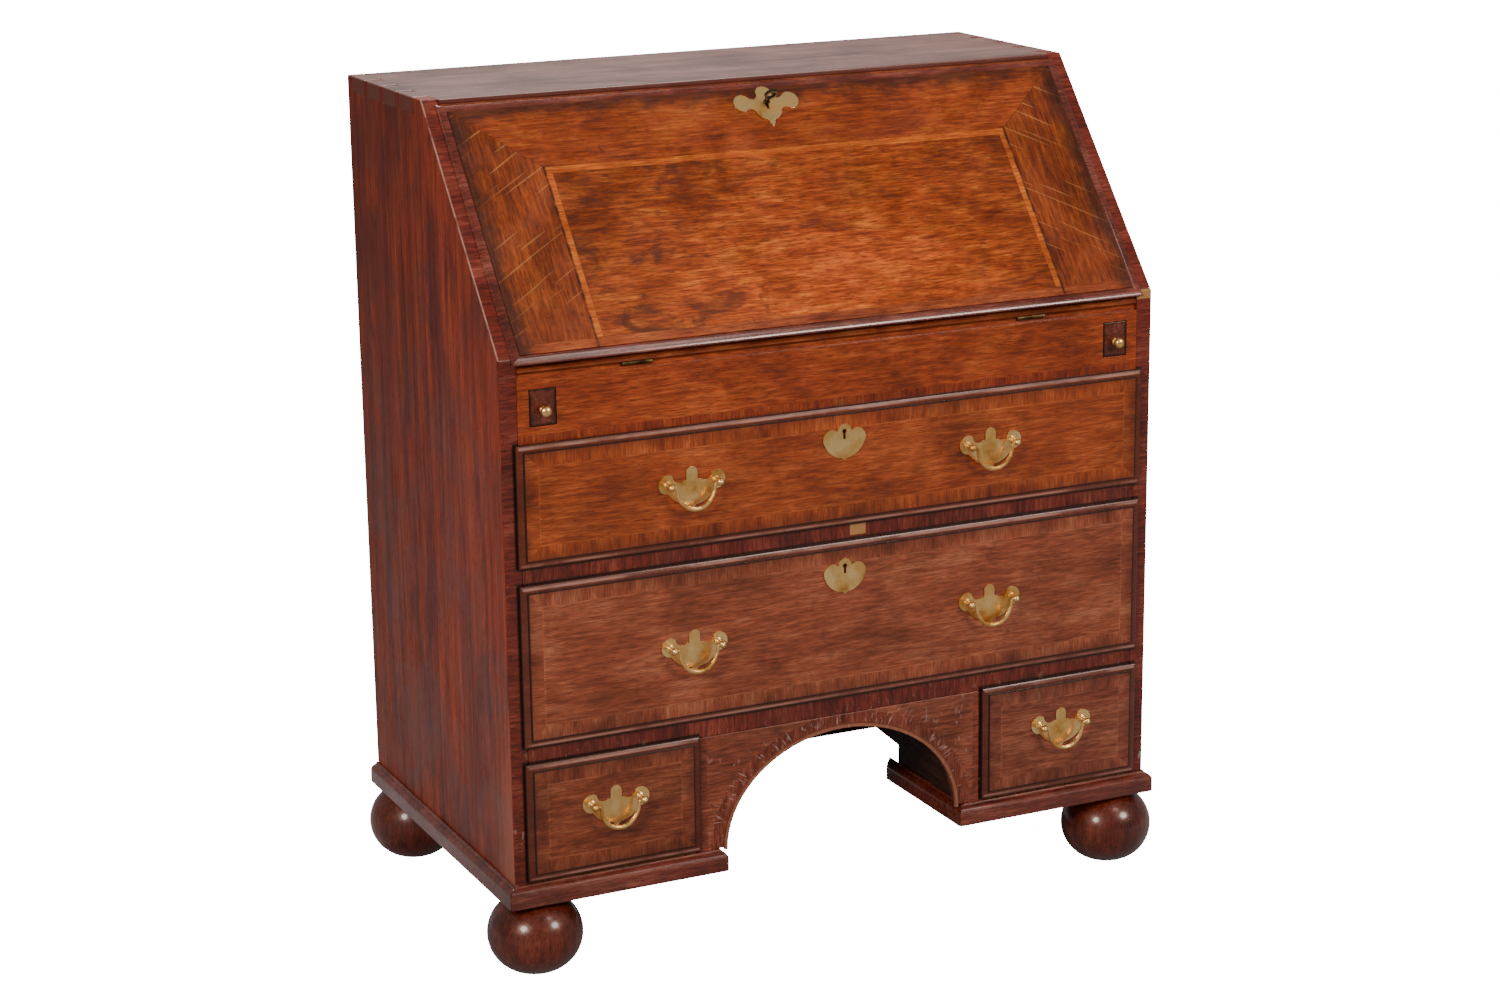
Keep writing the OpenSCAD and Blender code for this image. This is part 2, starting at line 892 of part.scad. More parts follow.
// One of the two kinds of mitred region of a frame, half_x by half_u: 0 at a side, 1 along the top.
module rim_wedge(half_x, half_u, along)
    translate([0, 0, -fall_t])
        linear_extrude(2 * fall_t)
            if (along == 1)
                polygon([[-half_x, half_u], [half_x, half_u], [half_x - half_u, 0], [half_u - half_x, 0]]);
            else
                polygon([[half_x, half_u - seam], [half_x, seam - half_u], [half_x - half_u + seam, 0]]);

field_x = fall_x + lip_side - rim_w - band_w - string_w;
field_u = [nose_cut + rim_w + 12, fall_u - rim_w - band_w + 2];
module fall_face(x, u)
    blk(x, u, [face_v, fall_t]);

module fall_field()
    color("#A8602F")
        on_fall()
            fall_face([seam - field_x, field_x - seam], [field_u[0], field_u[1] - seam]);

module fall_banding()
    color("#7E4520")
        on_fall()
            difference()
            {
                union()
                {
                    low = nose_cut + rim_w + seam;
                    high = fall_u - rim_w - seam;
                    edge = rim_x - rim_w - seam;
                    fall_face([-edge, edge], [low, field_u[0] - seam]);
                    both()
                    {
                        fall_face([field_x, field_x + string_w - seam], [field_u[0], field_u[1] + string_w]);
                        translate([0, 0, face_v])
                            linear_extrude(veneer_t)
                                polygon([[field_x + string_w, field_u[0]], [edge, field_u[0]],
                                    [edge, high - seam], [field_x + string_w, field_u[1] + string_w]]);
                    }
                    fall_face([seam - field_x, field_x - seam], [field_u[1], field_u[1] + string_w - seam]);
                    translate([0, 0, face_v])
                        linear_extrude(veneer_t)
                            polygon([[-field_x - string_w, field_u[1] + string_w + seam],
                                [field_x + string_w, field_u[1] + string_w + seam],
                                [edge - seam, high], [seam - edge, high]]);
                }
                translate([0, key_u, 0])
                    cylinder(r = 6, h = fall_t + 1);
            }

module keyhole(slack)
{
    circle(r = 2.8 + slack);
    translate([-1.4 - slack, -10])
        square([2.8 + 2 * slack, 10]);
}

module fall_lock()
    color("#A8854A")
        on_fall()
            difference()
            {
                blk([0.4 - lock_x, lock_x - 0.4], [key_u - 11.5, fall_u], [0.2, lock_depth - 0.2]);
                // Slot of the bolt, and room for the key and its bit
                blk([-bolt_w / 2 - slide_gap, bolt_w / 2 + slide_gap], [key_u + 8, fall_u + 1],
                    bolt_v + [-slide_gap, slide_gap]);
                translate([0, key_u, 1.5])
                    cylinder(r = 10, h = 8);
                translate([0, key_u, 0])
                    cylinder(r = 2.8, h = fall_t);
            }

module fall_lock_bolt()
    color("#8C8478")
        on_fall()
            blk([-bolt_w / 2, bolt_w / 2], [key_u + 11, fall_u - 0.5], bolt_v);

key_r = 2.5;
module key_bow(long, wide, thick)
    translate([0, thick / 2, fall_t + 20])
        rotate([90, 0, 0])
            linear_extrude(thick)
                polygon([for (a = [0 : 12 : 348]) [wide * cos(a), long * sin(a)]]);

module fall_key()
    color("#4A423A")
        on_fall()
            translate([0, key_u, 0])
            {
                difference()
                {
                    union()
                    {
                        translate([0, 0, 2])
                            cylinder(r = key_r, h = fall_t + 10);
                        blk([-1.2, 1.2], [-8.5, 0], [3, 8]);
                        // Collar
                        translate([0, 0, fall_t + 3])
                            cylinder(r = 4, h = 2);
                        // Bow, an oval ring
                        key_bow(10, 8.5, 3.2);
                    }
                    key_bow(6.5, 5.5, 6);
                }
            }

// Bat-wing plate of the fall's keyhole.
module fall_plate_outline()
    difference()
    {
        union()
        {
            for (side = [-1, 1])
                translate([side * 33, 1])
                    circle(r = 12);
            translate([0, 12])
                circle(r = 11.5);
            translate([-33, -10])
                square([66, 18]);
            translate([0, -6])
                circle(r = 20);
            translate([0, -28])
                circle(r = 4);
            polygon([[-3.5, -30], [3.5, -30], [0, -35.5]]);
        }
        for (side = [-1, 1])
        {
            translate([side * 17.5, 12.5])
                circle(r = 7);
            translate([side * 25, -16])
                circle(r = 8);
        }
    }

module fall_escutcheon()
    color("#C4A45E")
        on_fall()
            translate([0, key_u, fall_t])
                linear_extrude(plate_t)
                    difference()
                    {
                        fall_plate_outline();
                        keyhole(0.4);
                    }

// ---- lopers ----
module loper()
    in_case()
        difference()
        {
            blk([loper_x, loper_x + loper_w], [0, loper_len], [loper_z, loper_top]);
            // Groove that runs along the stop peg
            blk([loper_x - 1, loper_x + 7], [peg_y - peg_r - 1, peg_y + loper_travel + peg_r + 1],
                [loper_mid - peg_r - 0.5, loper_mid + peg_r + 0.5]);
            loper_knob_place()
                rotate([-90, 0, 0])
                    cylinder(r = 2.2, h = 22);
        }

module loper_knob_place()
    translate([loper_x + loper_w / 2, 0, loper_z + loper_h * 0.43])
        children();

module loper_knob()
    in_case()
        loper_knob_place()
            rotate([90, 0, 0])
            {
                rotate_extrude()
                    polygon(concat(
                        [[0, 0], [4.5, 0], [4.5, 1.5], [2.6, 3], [2.6, 6]],
                        [for (a = [-50 : 20 : 90]) [7 * cos(a), 11 + 5.5 * sin(a)]]
                    ));
                translate([0, 0, -16])
                    cylinder(r = 2, h = 17);
            }

module loper_left()
    color("#8A4F30")
        mirror([1, 0, 0])
            loper();

module loper_right()
    color("#8A4F30")
        loper();

module loper_knob_left()
    color("#C4A45E")
        mirror([1, 0, 0])
            loper_knob();

module loper_knob_right()
    color("#C4A45E")
        loper_knob();

// ---- drawers ----
lip_w = 9;           // width of the moulding round a drawer front
lip_drop = 4.5;      // how far it falls to the edge
module lip_outline(edge)
    for (side = [0, 1])
        mirror([side, 0])
            polygon(concat(
                [for (p = thumbnail(edge, lip_w, lip_drop)) [p[0], -lip_t - p[1]]],
                [[edge, -slide_gap], [0, -slide_gap]]
            ));

// A lipped front over the opening x by z.
module lipped_front(x, z)
{
    half_x = (x[1] - x[0]) / 2 + lip_side;
    half_z = (z[1] - z[0]) / 2 + lip_edge;
    translate([(x[0] + x[1]) / 2, 0, (z[0] + z[1]) / 2])
        intersection()
        {
            translate([0, 0, -half_z])
                linear_extrude(2 * half_z)
                    lip_outline(half_x);
            rotate([0, -90, 0])
                translate([0, 0, -half_x])
                    linear_extrude(2 * half_x)
                        lip_outline(half_z);
        }
    blk(x + [drawer_gap, -drawer_gap], [-slide_gap - seam, body_t], z + [drawer_gap, -drawer_gap]);
}

// Heights of the boards of the box behind a front.
function box_z(z) = [z[0] + drawer_gap, z[1] - drawer_gap - 6];

module side_tails(x, z, slack)
{
    range = box_z(z);
    count = z[1] - z[0] > 170 ? 4 : 3;
    for (edge = [x[0] + drawer_gap - slack, x[1] - drawer_gap - drawer_side_t - slack])
        translate([edge, 0, 0])
            rotate([90, 0, 90])
                linear_extrude(drawer_side_t + 2 * slack)
                    drawer_tails(range[0], range[1] - range[0], count, slack);
}

module drawer_front(x, z, handles, handle_z, locked)
    in_case()
        difference()
        {
            lipped_front(x, z);
            side_tails(x, z, seam);
            for (hx = handles)
                translate([hx, 0, handle_z])
                    for (side = [-1, 1])
                        translate([side * post_span / 2, body_t + 1, 0])
                            rotate([90, 0, 0])
                                cylinder(r = shank_r + 0.2, h = front_t + 2);
            if (locked)
            {
                blk([-lock_x, lock_x], [lock_y, body_t + 1], [z[1] - lock_drop - 14, z[1]]);
                translate([0, lock_y + 1, z[1] - lock_drop])
                    rotate([90, 0, 0])
                        linear_extrude(lock_y + lip_t + 2)
                            keyhole(0.2);
            }
        }

bottom_t = 8;
box_back_t = 10;
module drawer_box(x, z, depth)
    in_case()
    {
        range = box_z(z);
        side_tails(x, z, 0);
        for (edge = [x[0] + drawer_gap, x[1] - drawer_gap - drawer_side_t])
            blk([edge, edge + drawer_side_t], [body_t + seam / 2, depth], range);
        inside = x + [1, -1] * (drawer_gap + drawer_side_t + seam);
        blk(inside, [body_t + seam, depth], [range[0] + 4, range[0] + 4 + bottom_t]);
        blk(inside, [depth - box_back_t, depth], [range[0] + 4 + bottom_t + seam, range[1] - 5]);
    }

bolt_y = [10, 14];
module bolt_mortise(z)
    blk([-bolt_w / 2 - 2, bolt_w / 2 + 2], bolt_y + [-1, 1], [z - 1, z + bolt_throw + 2]);

module drawer_lock(z)
    color("#A8854A")
        in_case()
            difference()
            {
                blk([0.4 - lock_x, lock_x - 0.4], [lock_y + 0.2, body_t],
                    [z[1] - lock_drop - 13.5, z[1] - drawer_gap]);
                blk([-bolt_w / 2 - slide_gap, bolt_w / 2 + slide_gap], bolt_y + [-slide_gap, slide_gap],
                    [z[1] - lock_drop + 8, z[1]]);
                translate([0, body_t - 1.2, z[1] - lock_drop])
                    rotate([90, 0, 0])
                        linear_extrude(body_t)
                            keyhole(0.2);
            }

module drawer_bolt(z)
    color("#8C8478")
        in_case()
            blk([-bolt_w / 2, bolt_w / 2], bolt_y, [z[1] - lock_drop + 10, z[1] - drawer_gap - 0.3]);

// ---- handles ----
shank_r = 2.4;
post_out = 12;       // from the plate to the axis of the bail
ball_r = 5;
bail_end_r = 1.8;
bail_drop = 28;
bail_turn = 3;       // bend between the end of a bail and its arm

module plate_outline()
{
    lobe = 12;
    difference()
    {
        union()
        {
            for (side = [-1, 1])
                translate([side * post_span / 2, 1])
                    circle(r = lobe);
            translate([0, 13])
                circle(r = 7.4);
            translate([-7.4, -6])
                square([14.8, 19]);
            intersection()
            {
                translate([0, 10])
                    circle(r = 38);
                translate([-38, -30])
                    square([76, 34]);
            }
            polygon([[-7, -26], [7, -26], [0, -33.4]]);
        }
        for (side = [-1, 1])
            translate([side * (post_span - lobe) / 3.1, 10.5])
                circle(r = 8.6);
    }
}

module drawer_plate_outline()
{
    for (side = [-1, 1])
        translate([side * 17.5, -9])
            circle(r = 12);
    circle(r = 9.5);
    intersection()
    {
        translate([0, -5])
            circle(r = 29.5);
        translate([-28.5, -36])
            square([57, 27]);
    }
    polygon([[-4, -34], [4, -34], [0, -37]]);
}

module handle_post()
    difference()
    {
        union()
        {
            rotate_extrude()
                polygon(concat(
                    [[0, 0], [5.6, 0], [5.6, 1.2], [3.4, 2.6], [3, 7]],
                    [for (a = [-55 : 15 : 75]) [ball_r * cos(a), post_out + ball_r * sin(a)]],
                    [[1.2, post_out + ball_r + 0.5], [0, post_out + ball_r + 0.7]]
                ));
            translate([0, 0, -front_t - plate_t - 0.1])
                cylinder(r = shank_r, h = front_t + plate_t + 1);
            // Nut inside the drawer
            translate([0, 0, -front_t - plate_t - 3.1])
                cylinder(r = 6, h = 3, $fn = 6);
        }
        translate([-ball_r - 1, 0, post_out])
            rotate([0, 90, 0])
                cylinder(r = bail_end_r + 0.3, h = 2 * ball_r + 2);
    }

// Faces towards -Y: the outline's X and Y become X and Z.
module on_front(y, z)
    translate([0, y, z])
        rotate([90, 0, 0])
            children();

module drawer_brasses(z, handles, handle_z, locked)
    color("#C4A45E")
        in_case()
        {
            for (hx = handles)
                translate([hx, 0, 0])
                    on_front(-lip_t, handle_z)
                    {
                        linear_extrude(plate_t)
                            difference()
                            {
                                plate_outline();
                                for (side = [-1, 1])
                                    translate([side * post_span / 2, 0])
                                        circle(r = shank_r + seam);
                            }
                        for (side = [-1, 1])
                            translate([side * post_span / 2, 0, plate_t + seam / 2])
                                handle_post();
                    }
            if (locked)
                on_front(-lip_t, z[1] - lock_drop)
                    linear_extrude(plate_t)
                        difference()
                        {
                            drawer_plate_outline();
                            keyhole(0.2);
                        }
        }

bail_x = post_span / 2 - ball_r - 2;
bail_half = concat(
    [[post_span / 2 + 3, 0], [bail_x + bail_turn, 0]],
    [for (a = [30 : 30 : 90]) [bail_x + bail_turn * (1 - sin(a)), bail_turn * (cos(a) - 1)]],
    [for (a = [15 : 15 : 90]) [bail_x * cos(a), -bail_turn - bail_drop * sin(a)]]
);
bail_path = concat(bail_half, [for (i = [len(bail_half) - 2 : -1 : 0]) [-bail_half[i][0], bail_half[i][1]]]);
bail_sides = 10;
function bail_r(p) = bail_end_r + (bail_d / 2 + 0.4 - bail_end_r) * min(1, -p[1] / bail_drop);
function bail_heading(i) =
    let (a = bail_path[max(i - 1, 0)], b = bail_path[min(i + 1, len(bail_path) - 1)])
        atan2(b[1] - a[1], b[0] - a[0]);
function bail_ring(i) =
    let (p = bail_path[i], h = bail_heading(i), r = bail_r(p))
        [for (k = [0 : bail_sides - 1])
            let (a = 360 * k / bail_sides)
                [p[0] - r * cos(a) * sin(h), r * sin(a), p[1] + r * cos(a) * cos(h)]];

module bail_rod()
{
    rings = len(bail_path);
    n = bail_sides;
    polyhedron(
        points = [for (i = [0 : rings - 1]) each bail_ring(i)],
        faces = concat(
            [[for (k = [0 : n - 1]) k]],
            [for (i = [0 : rings - 2]) for (k = [0 : n - 1])
                [i * n + (k + 1) % n, i * n + k, (i + 1) * n + k, (i + 1) * n + (k + 1) % n]],
            [[for (k = [n - 1 : -1 : 0]) (rings - 1) * n + k]]
        )
    );
}

module bail(x, z)
    color("#C9AA66")
        in_case()
            translate([x, -lip_t - plate_t - seam / 2 - post_out, z])
                bail_rod();

long_x = [-inner_x, inner_x];
short_x = [stile_x, inner_x];
upper_range = [upper_z, upper_z + upper_h];
lower_range = [lower_z, lower_z + lower_h];
short_range = [floor_z, floor_z + short_h];
short_handle = (stile_x + inner_x) / 2;
// Heights of the handles' posts: near the middle of each front.
upper_handle_z = upper_z + upper_h / 2 + 5.5;
lower_handle_z = lower_z + lower_h / 2 - 2;
short_handle_z = floor_z + short_h / 2 + 13;

module upper_drawer_front()
    color("#7F4029")
        drawer_front(long_x, upper_range, [-handle_x, handle_x], upper_handle_z, true);
module lower_drawer_front()
    color("#7F4029")
        drawer_front(long_x, lower_range, [-handle_x, handle_x], lower_handle_z, true);
module short_right_front()
    color("#7F4029")
        drawer_front(short_x, short_range, [short_handle], short_handle_z, false);
module short_left_front() mirror([1, 0, 0]) short_right_front();
module upper_drawer_box() color("#C49A62") drawer_box(long_x, upper_range, drawer_len);
module lower_drawer_box() color("#C49A62") drawer_box(long_x, lower_range, drawer_len);
module short_right_box() color("#C49A62") drawer_box(short_x, short_range, short_len);
module short_left_box() mirror([1, 0, 0]) short_right_box();
module upper_drawer_brasses() drawer_brasses(upper_range, [-handle_x, handle_x], upper_handle_z, true);
module lower_drawer_brasses() drawer_brasses(lower_range, [-handle_x, handle_x], lower_handle_z, true);
module short_right_brasses() drawer_brasses(short_range, [short_handle], short_handle_z, false);
module short_left_brasses() mirror([1, 0, 0]) short_right_brasses();
module upper_drawer_lock() drawer_lock(upper_range);
module lower_drawer_lock() drawer_lock(lower_range);
module upper_drawer_bolt() drawer_bolt(upper_range);
module lower_drawer_bolt() drawer_bolt(lower_range);
module upper_bail_left() bail(-handle_x, upper_handle_z);
module upper_bail_right() bail(handle_x, upper_handle_z);
module lower_bail_left() bail(-handle_x, lower_handle_z);
module lower_bail_right() bail(handle_x, lower_handle_z);
module short_left_bail() bail(-short_handle, short_handle_z);
module short_right_bail() bail(short_handle, short_handle_z);

side_left();
side_right();
top_board();
back_boards();
writing_floor();
frieze_rail();
loper_housings();
drawer_rails();
dust_boards();
arch_apron();
arch_bead();
kneehole_panels();
pedestal_floors();
base_mouldings();
bun_feet();
inner_framing();
edge_facings();
pigeonhole_case();
pigeonhole_valances();
hinge_case_leaves();
fall_board();
fall_moulding();
fall_field();
fall_banding();
hinge_fall_leaves();
fall_lock();
fall_escutcheon();
fall_key();
fall_lock_bolt();
loper_left();
loper_knob_left();
loper_right();
loper_knob_right();
upper_drawer_front();
upper_drawer_box();
upper_drawer_brasses();
upper_drawer_lock();
upper_drawer_bolt();
upper_bail_left();
upper_bail_right();
lower_drawer_front();
lower_drawer_box();
lower_drawer_brasses();
lower_drawer_lock();
lower_drawer_bolt();
lower_bail_left();
lower_bail_right();
short_left_front();
short_left_box();
short_left_brasses();
short_left_bail();
short_right_front();
short_right_box();
short_right_brasses();
short_right_bail();
well_cover();
prospect_door();
inner_drawer_left();
inner_drawer_right();
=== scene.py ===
import bpy
import bmesh
import math
from mathutils import Vector, Matrix


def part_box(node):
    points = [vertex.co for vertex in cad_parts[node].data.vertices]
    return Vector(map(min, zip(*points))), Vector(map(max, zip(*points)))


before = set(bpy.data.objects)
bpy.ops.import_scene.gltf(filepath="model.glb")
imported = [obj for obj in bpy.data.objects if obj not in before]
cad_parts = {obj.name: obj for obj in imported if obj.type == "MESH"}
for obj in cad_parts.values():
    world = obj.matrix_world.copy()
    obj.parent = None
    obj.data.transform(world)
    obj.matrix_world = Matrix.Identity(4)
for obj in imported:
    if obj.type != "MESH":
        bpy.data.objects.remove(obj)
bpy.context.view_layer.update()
print("frame loaded:", len(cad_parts), "nodes")

mm = 0.001
fineJoint = 0.2 * mm    # half the softness of a joint in the fall's inlay
veneerJoint = 0.3 * mm  # and of one between coarser veneers


def rgb(code):
    # sRGB hex to linear
    part = [int(code[i:i + 2], 16) / 255 for i in (1, 3, 5)]
    return tuple(c / 12.92 if c < 0.04045 else ((c + 0.055) / 1.055) ** 2.4 for c in part) + (1,)


def add(tree, kind, inputs=None, **settings):
    # one node with its settings; an input is a value, or a socket to link from
    node = tree.nodes.new(kind)
    for key, value in settings.items():
        setattr(node, key, value)
    for key, value in (inputs or {}).items():
        if isinstance(value, bpy.types.NodeSocket):
            tree.links.new(value, node.inputs[key])
        else:
            node.inputs[key].default_value = value
    return node


def ramp(tree, factor, stops):
    # stops: {position: hex colour}
    node = add(tree, "ShaderNodeValToRGB", {"Fac": factor})
    element = node.color_ramp.elements
    while len(element) < len(stops):
        element.new(0.5)
    for slot, (place, code) in zip(element, sorted(stops.items())):
        slot.position = place
        slot.color = rgb(code)
    return node.outputs["Color"]


def blend(tree, factor, first, second, how="MIX"):
    node = add(tree, "ShaderNodeMix", data_type="RGBA", blend_type=how)
    for socket, value in ((node.inputs[0], factor), (node.inputs[6], first), (node.inputs[7], second)):
        if isinstance(value, bpy.types.NodeSocket):
            tree.links.new(value, socket)
        else:
            socket.default_value = value
    return node.outputs[2]


def sums(tree, how, first, second=0.0, third=0.0):
    node = add(tree, "ShaderNodeMath", {0: first, 1: second, 2: third}, operation=how)
    return node.outputs[0]


def span(tree, value, low, high, start=0.0, end=1.0):
    node = add(tree, "ShaderNodeMapRange", {"Value": value, "From Min": low, "From Max": high,
                                            "To Min": start, "To Max": end}, interpolation_type="SMOOTHSTEP")
    return node.outputs["Result"]


def streaks(tree, place, size, detail=3.0, rough=0.55, twist=0.0, move=(0, 0, 0), turn=(0, 0, 0)):
    # noise whose features measure `size` metres along x, y and z
    grid = add(tree, "ShaderNodeMapping", {"Vector": place, "Location": move, "Rotation": turn})
    fit = add(tree, "ShaderNodeVectorMath", {0: grid.outputs[0], 1: [1 / s for s in size]}, operation="MULTIPLY")
    noise = add(tree, "ShaderNodeTexNoise", {"Vector": fit.outputs[0], "Scale": 1.0, "Detail": detail,
                                            "Roughness": rough, "Distortion": twist})
    return noise.outputs["Fac"]


def along(axis, long, across):
    # a feature size that is long on one axis
    size = [across, across, across]
    size["xyz".index(axis)] = long
    return size


def axes(tree, place):
    return add(tree, "ShaderNodeSeparateXYZ", {0: place}).outputs


def band(tree, value, low, high, soft=0.0006):
    # 1 between low and high, 0 outside
    return sums(tree, "MULTIPLY", span(tree, value, low - soft, low + soft),
                span(tree, value, high - soft, high + soft, 1.0, 0.0))


def shaded(tree, colour, amount):
    # darkens or lightens a colour by a factor socket
    grey = add(tree, "ShaderNodeCombineColor", {0: amount, 1: amount, 2: amount}).outputs[0]
    return blend(tree, 1.0, colour, grey, "MULTIPLY")


def stuff(name):
    material = bpy.data.materials.new(name)
    material.use_nodes = True
    tree = material.node_tree
    shader = tree.nodes["Principled BSDF"]
    place = add(tree, "ShaderNodeTexCoord").outputs["Object"]
    return material, tree, shader, place


# Polished old oak: open pores show as short dark dashes along the grain, the growth rings as soft
# bands, fibres as fine streaks, and two centuries of wax as a low, slightly uneven gloss.
# Lengths are metres, along and across the grain; pores are drawn about 1 mm wide, so that they show.
oakDefaults = {
    "grain": "x", "dark": "#4A1304", "mid": "#8A3410", "light": "#B85A1E",
    "figure": (0.11, 0.05), "ring": (0.06, 0.0045), "fibre": (0.022, 0.0016), "pore": (0.012, 0.0014),
    "poreDepth": 0.55, "fibreDepth": 0.32, "fleck": 0.0, "gloss": 0.27, "coat": 0.25, "shine": 0.4,
    "patina": 0.3, "stain": 0.4, "shift": (0, 0, 0), "bump": 0.22,
}


def grainTone(tree, place, s):
    # colour of one piece of veneer or board, and its relief
    g = s["grain"]
    figure = streaks(tree, place, along(g, *s["figure"]), 4, 0.6, 0.7, s["shift"])
    ring = streaks(tree, place, along(g, *s["ring"]), 2, 0.5, 0.4, s["shift"])
    fibre = streaks(tree, place, along(g, *s["fibre"]), 2, 0.6, 0.1, s["shift"])
    pore = streaks(tree, place, along(g, *s["pore"]), 1, 0.5, 0.2, s["shift"])
    tone = sums(tree, "ADD", sums(tree, "MULTIPLY", figure, 0.55), sums(tree, "MULTIPLY", ring, 0.45))
    colour = ramp(tree, tone, {0.3: s["dark"], 0.5: s["mid"], 0.7: s["light"]})
    colour = shaded(tree, colour, span(tree, fibre, 0.3, 0.7, 1 - s["fibreDepth"], 1 + s["fibreDepth"]))
    dash = span(tree, pore, 0.55, 0.68)
    colour = blend(tree, sums(tree, "MULTIPLY", dash, s["poreDepth"]), colour, rgb(s["dark"]))
    if s["fleck"]:
        # medullary rays: pale slanting flecks of quarter-sawn oak
        mirrored = add(tree, "ShaderNodeVectorMath", {0: place}, operation="ABSOLUTE").outputs[0]
        ray = streaks(tree, mirrored, (0.1, 0.0036, 0.0036), 0, 0.5, 0.25, s["shift"], (0, 0, 0.55))
        colour = blend(tree, sums(tree, "MULTIPLY", span(tree, ray, 0.7, 0.75), s["fleck"]), colour, rgb("#D08A48"))
    return colour, sums(tree, "SUBTRACT", sums(tree, "MULTIPLY", ring, 0.6), sums(tree, "MULTIPLY", dash, 0.5))


def oak(name, zones=None, overlay=None, turned=None, **changes):
    # zones(tree, place): [(mask, changes)] for inlays and crossbands; overlay adds stains and lines
    s = dict(oakDefaults, **changes)
    material, tree, shader, place = stuff(name)
    if turned:
        place = turned(tree, place)
    colour, depth = grainTone(tree, place, s)
    for mask, other in (zones(tree, place) if zones else ()):
        colour = blend(tree, mask, colour, grainTone(tree, place, dict(s, **other))[0])
    cloud = streaks(tree, place, (0.13, 0.13, 0.13), 4, 0.62, 0.9, s["shift"])
    colour = shaded(tree, colour, span(tree, cloud, 0.32, 0.6, 1 - s["patina"], 1.0))
    spots = streaks(tree, place, (0.035, 0.02, 0.03), 5, 0.7, 1.0, s["shift"])
    colour = blend(tree, sums(tree, "MULTIPLY", span(tree, spots, 0.6, 0.72), s["stain"]), colour, rgb("#1E0804"))
    if overlay:
        colour = overlay(tree, place, colour)
    tree.links.new(colour, shader.inputs["Base Color"])
    dull = span(tree, sums(tree, "ADD", cloud, sums(tree, "MULTIPLY", spots, 0.5)), 0.4, 1.1,
                s["gloss"] - 0.05, s["gloss"] + 0.2)
    tree.links.new(dull, shader.inputs["Roughness"])
    shader.inputs["Coat Weight"].default_value = s["coat"]
    shader.inputs["Coat Roughness"].default_value = 0.14
    shader.inputs["Specular IOR Level"].default_value = s["shine"]
    shader.inputs["Specular Tint"].default_value = rgb("#FFDCC8")
    bump = add(tree, "ShaderNodeBump", {"Height": depth, "Strength": s["bump"], "Distance": 0.4 * mm})
    tree.links.new(bump.outputs[0], shader.inputs["Normal"])
    return material


cameraView = {"azimuth": -25.427, "elevation": 15.108, "roll": -0.70, "lens": 76.3,
              "spot": (-1.7451, -3.6582, 1.5915)}


def makeCamera():
    az, el, roll = (math.radians(cameraView[k]) for k in ("azimuth", "elevation", "roll"))
    back = Vector((math.sin(az) * math.cos(el), -math.cos(az) * math.cos(el), math.sin(el)))
    right = Vector((math.cos(az), math.sin(az), 0))
    up = back.cross(right)
    right, up = right * math.cos(roll) + up * math.sin(roll), up * math.cos(roll) - right * math.sin(roll)
    camera = bpy.data.objects.new("camera", bpy.data.cameras.new("camera"))
    camera.data.lens = cameraView["lens"]
    camera.data.sensor_width = 36
    camera.data.clip_end = 60
    camera.matrix_world = Matrix((
        (right.x, up.x, back.x, cameraView["spot"][0]),
        (right.y, up.y, back.y, cameraView["spot"][1]),
        (right.z, up.z, back.z, cameraView["spot"][2]),
        (0, 0, 0, 1)))
    bpy.context.scene.collection.objects.link(camera)
    bpy.context.scene.camera = camera


# name: (x, y, z, width, power); each aims at the middle of the desk
softLights = {
    "keyLeft": (-3.4, -2.5, 2.5, 1.2, 105),
    "keyRight": (2.0, -3.4, 2.6, 1.3, 84),
    "fallSheen": (0.9, -2.0, 3.1, 0.7, 7),
    "overhead": (0.3, 1.4, 3.2, 2.2, 85),
}
studio = {"worldLight": 0.28, "worldGlow": 16.8, "floorGlow": 16.0}


def makeLights():
    aim = Vector((0, 0, 0.55))
    for name, (x, y, z, width, power) in softLights.items():
        lamp = bpy.data.objects.new(name, bpy.data.lights.new(name, "AREA"))
        lamp.data.size = width
        lamp.data.energy = power
        lamp.data.shape = "DISK"
        spot = Vector((x, y, z))
        lamp.matrix_world = Matrix.Translation(spot) @ (spot - aim).to_track_quat("Z", "Y").to_matrix().to_4x4()
        bpy.context.scene.collection.objects.link(lamp)
    world = bpy.data.worlds.new("whiteStudio")
    world.use_nodes = True
    tree = world.node_tree
    # the backdrop is overexposed to white, while the light on the desk stays soft
    seen = add(tree, "ShaderNodeLightPath").outputs["Is Camera Ray"]
    tree.links.new(span(tree, seen, 0.0, 1.0, studio["worldLight"], studio["worldGlow"]),
                   tree.nodes["Background"].inputs["Strength"])
    tree.nodes["Background"].inputs["Color"].default_value = (1, 1, 1, 1)
    bpy.context.scene.world = world


def makeFloor():
    # white studio paper, lit up behind and below the desk
    bm = bmesh.new()
    bmesh.ops.create_grid(bm, x_segments=1, y_segments=1, size=30)
    mesh = bpy.data.meshes.new("studioFloor")
    bm.to_mesh(mesh)
    bm.free()
    floor = bpy.data.objects.new("studioFloor", mesh)
    bpy.context.scene.collection.objects.link(floor)
    material, tree, shader, place = stuff("studioPaper")
    tone = ramp(tree, streaks(tree, place, (0.6, 0.6, 0.6)), {0.3: "#9C9C9C", 0.7: "#A0A0A0"})
    tree.links.new(tone, shader.inputs["Base Color"])
    shader.inputs["Roughness"].default_value = 0.9
    seen = add(tree, "ShaderNodeLightPath").outputs["Is Camera Ray"]
    shader.inputs["Emission Color"].default_value = (1, 1, 1, 1)
    tree.links.new(sums(tree, "MULTIPLY", seen, studio["floorGlow"]), shader.inputs["Emission Strength"])
    mesh.materials.append(material)


makeCamera()
makeLights()
makeFloor()
print("stage ready")


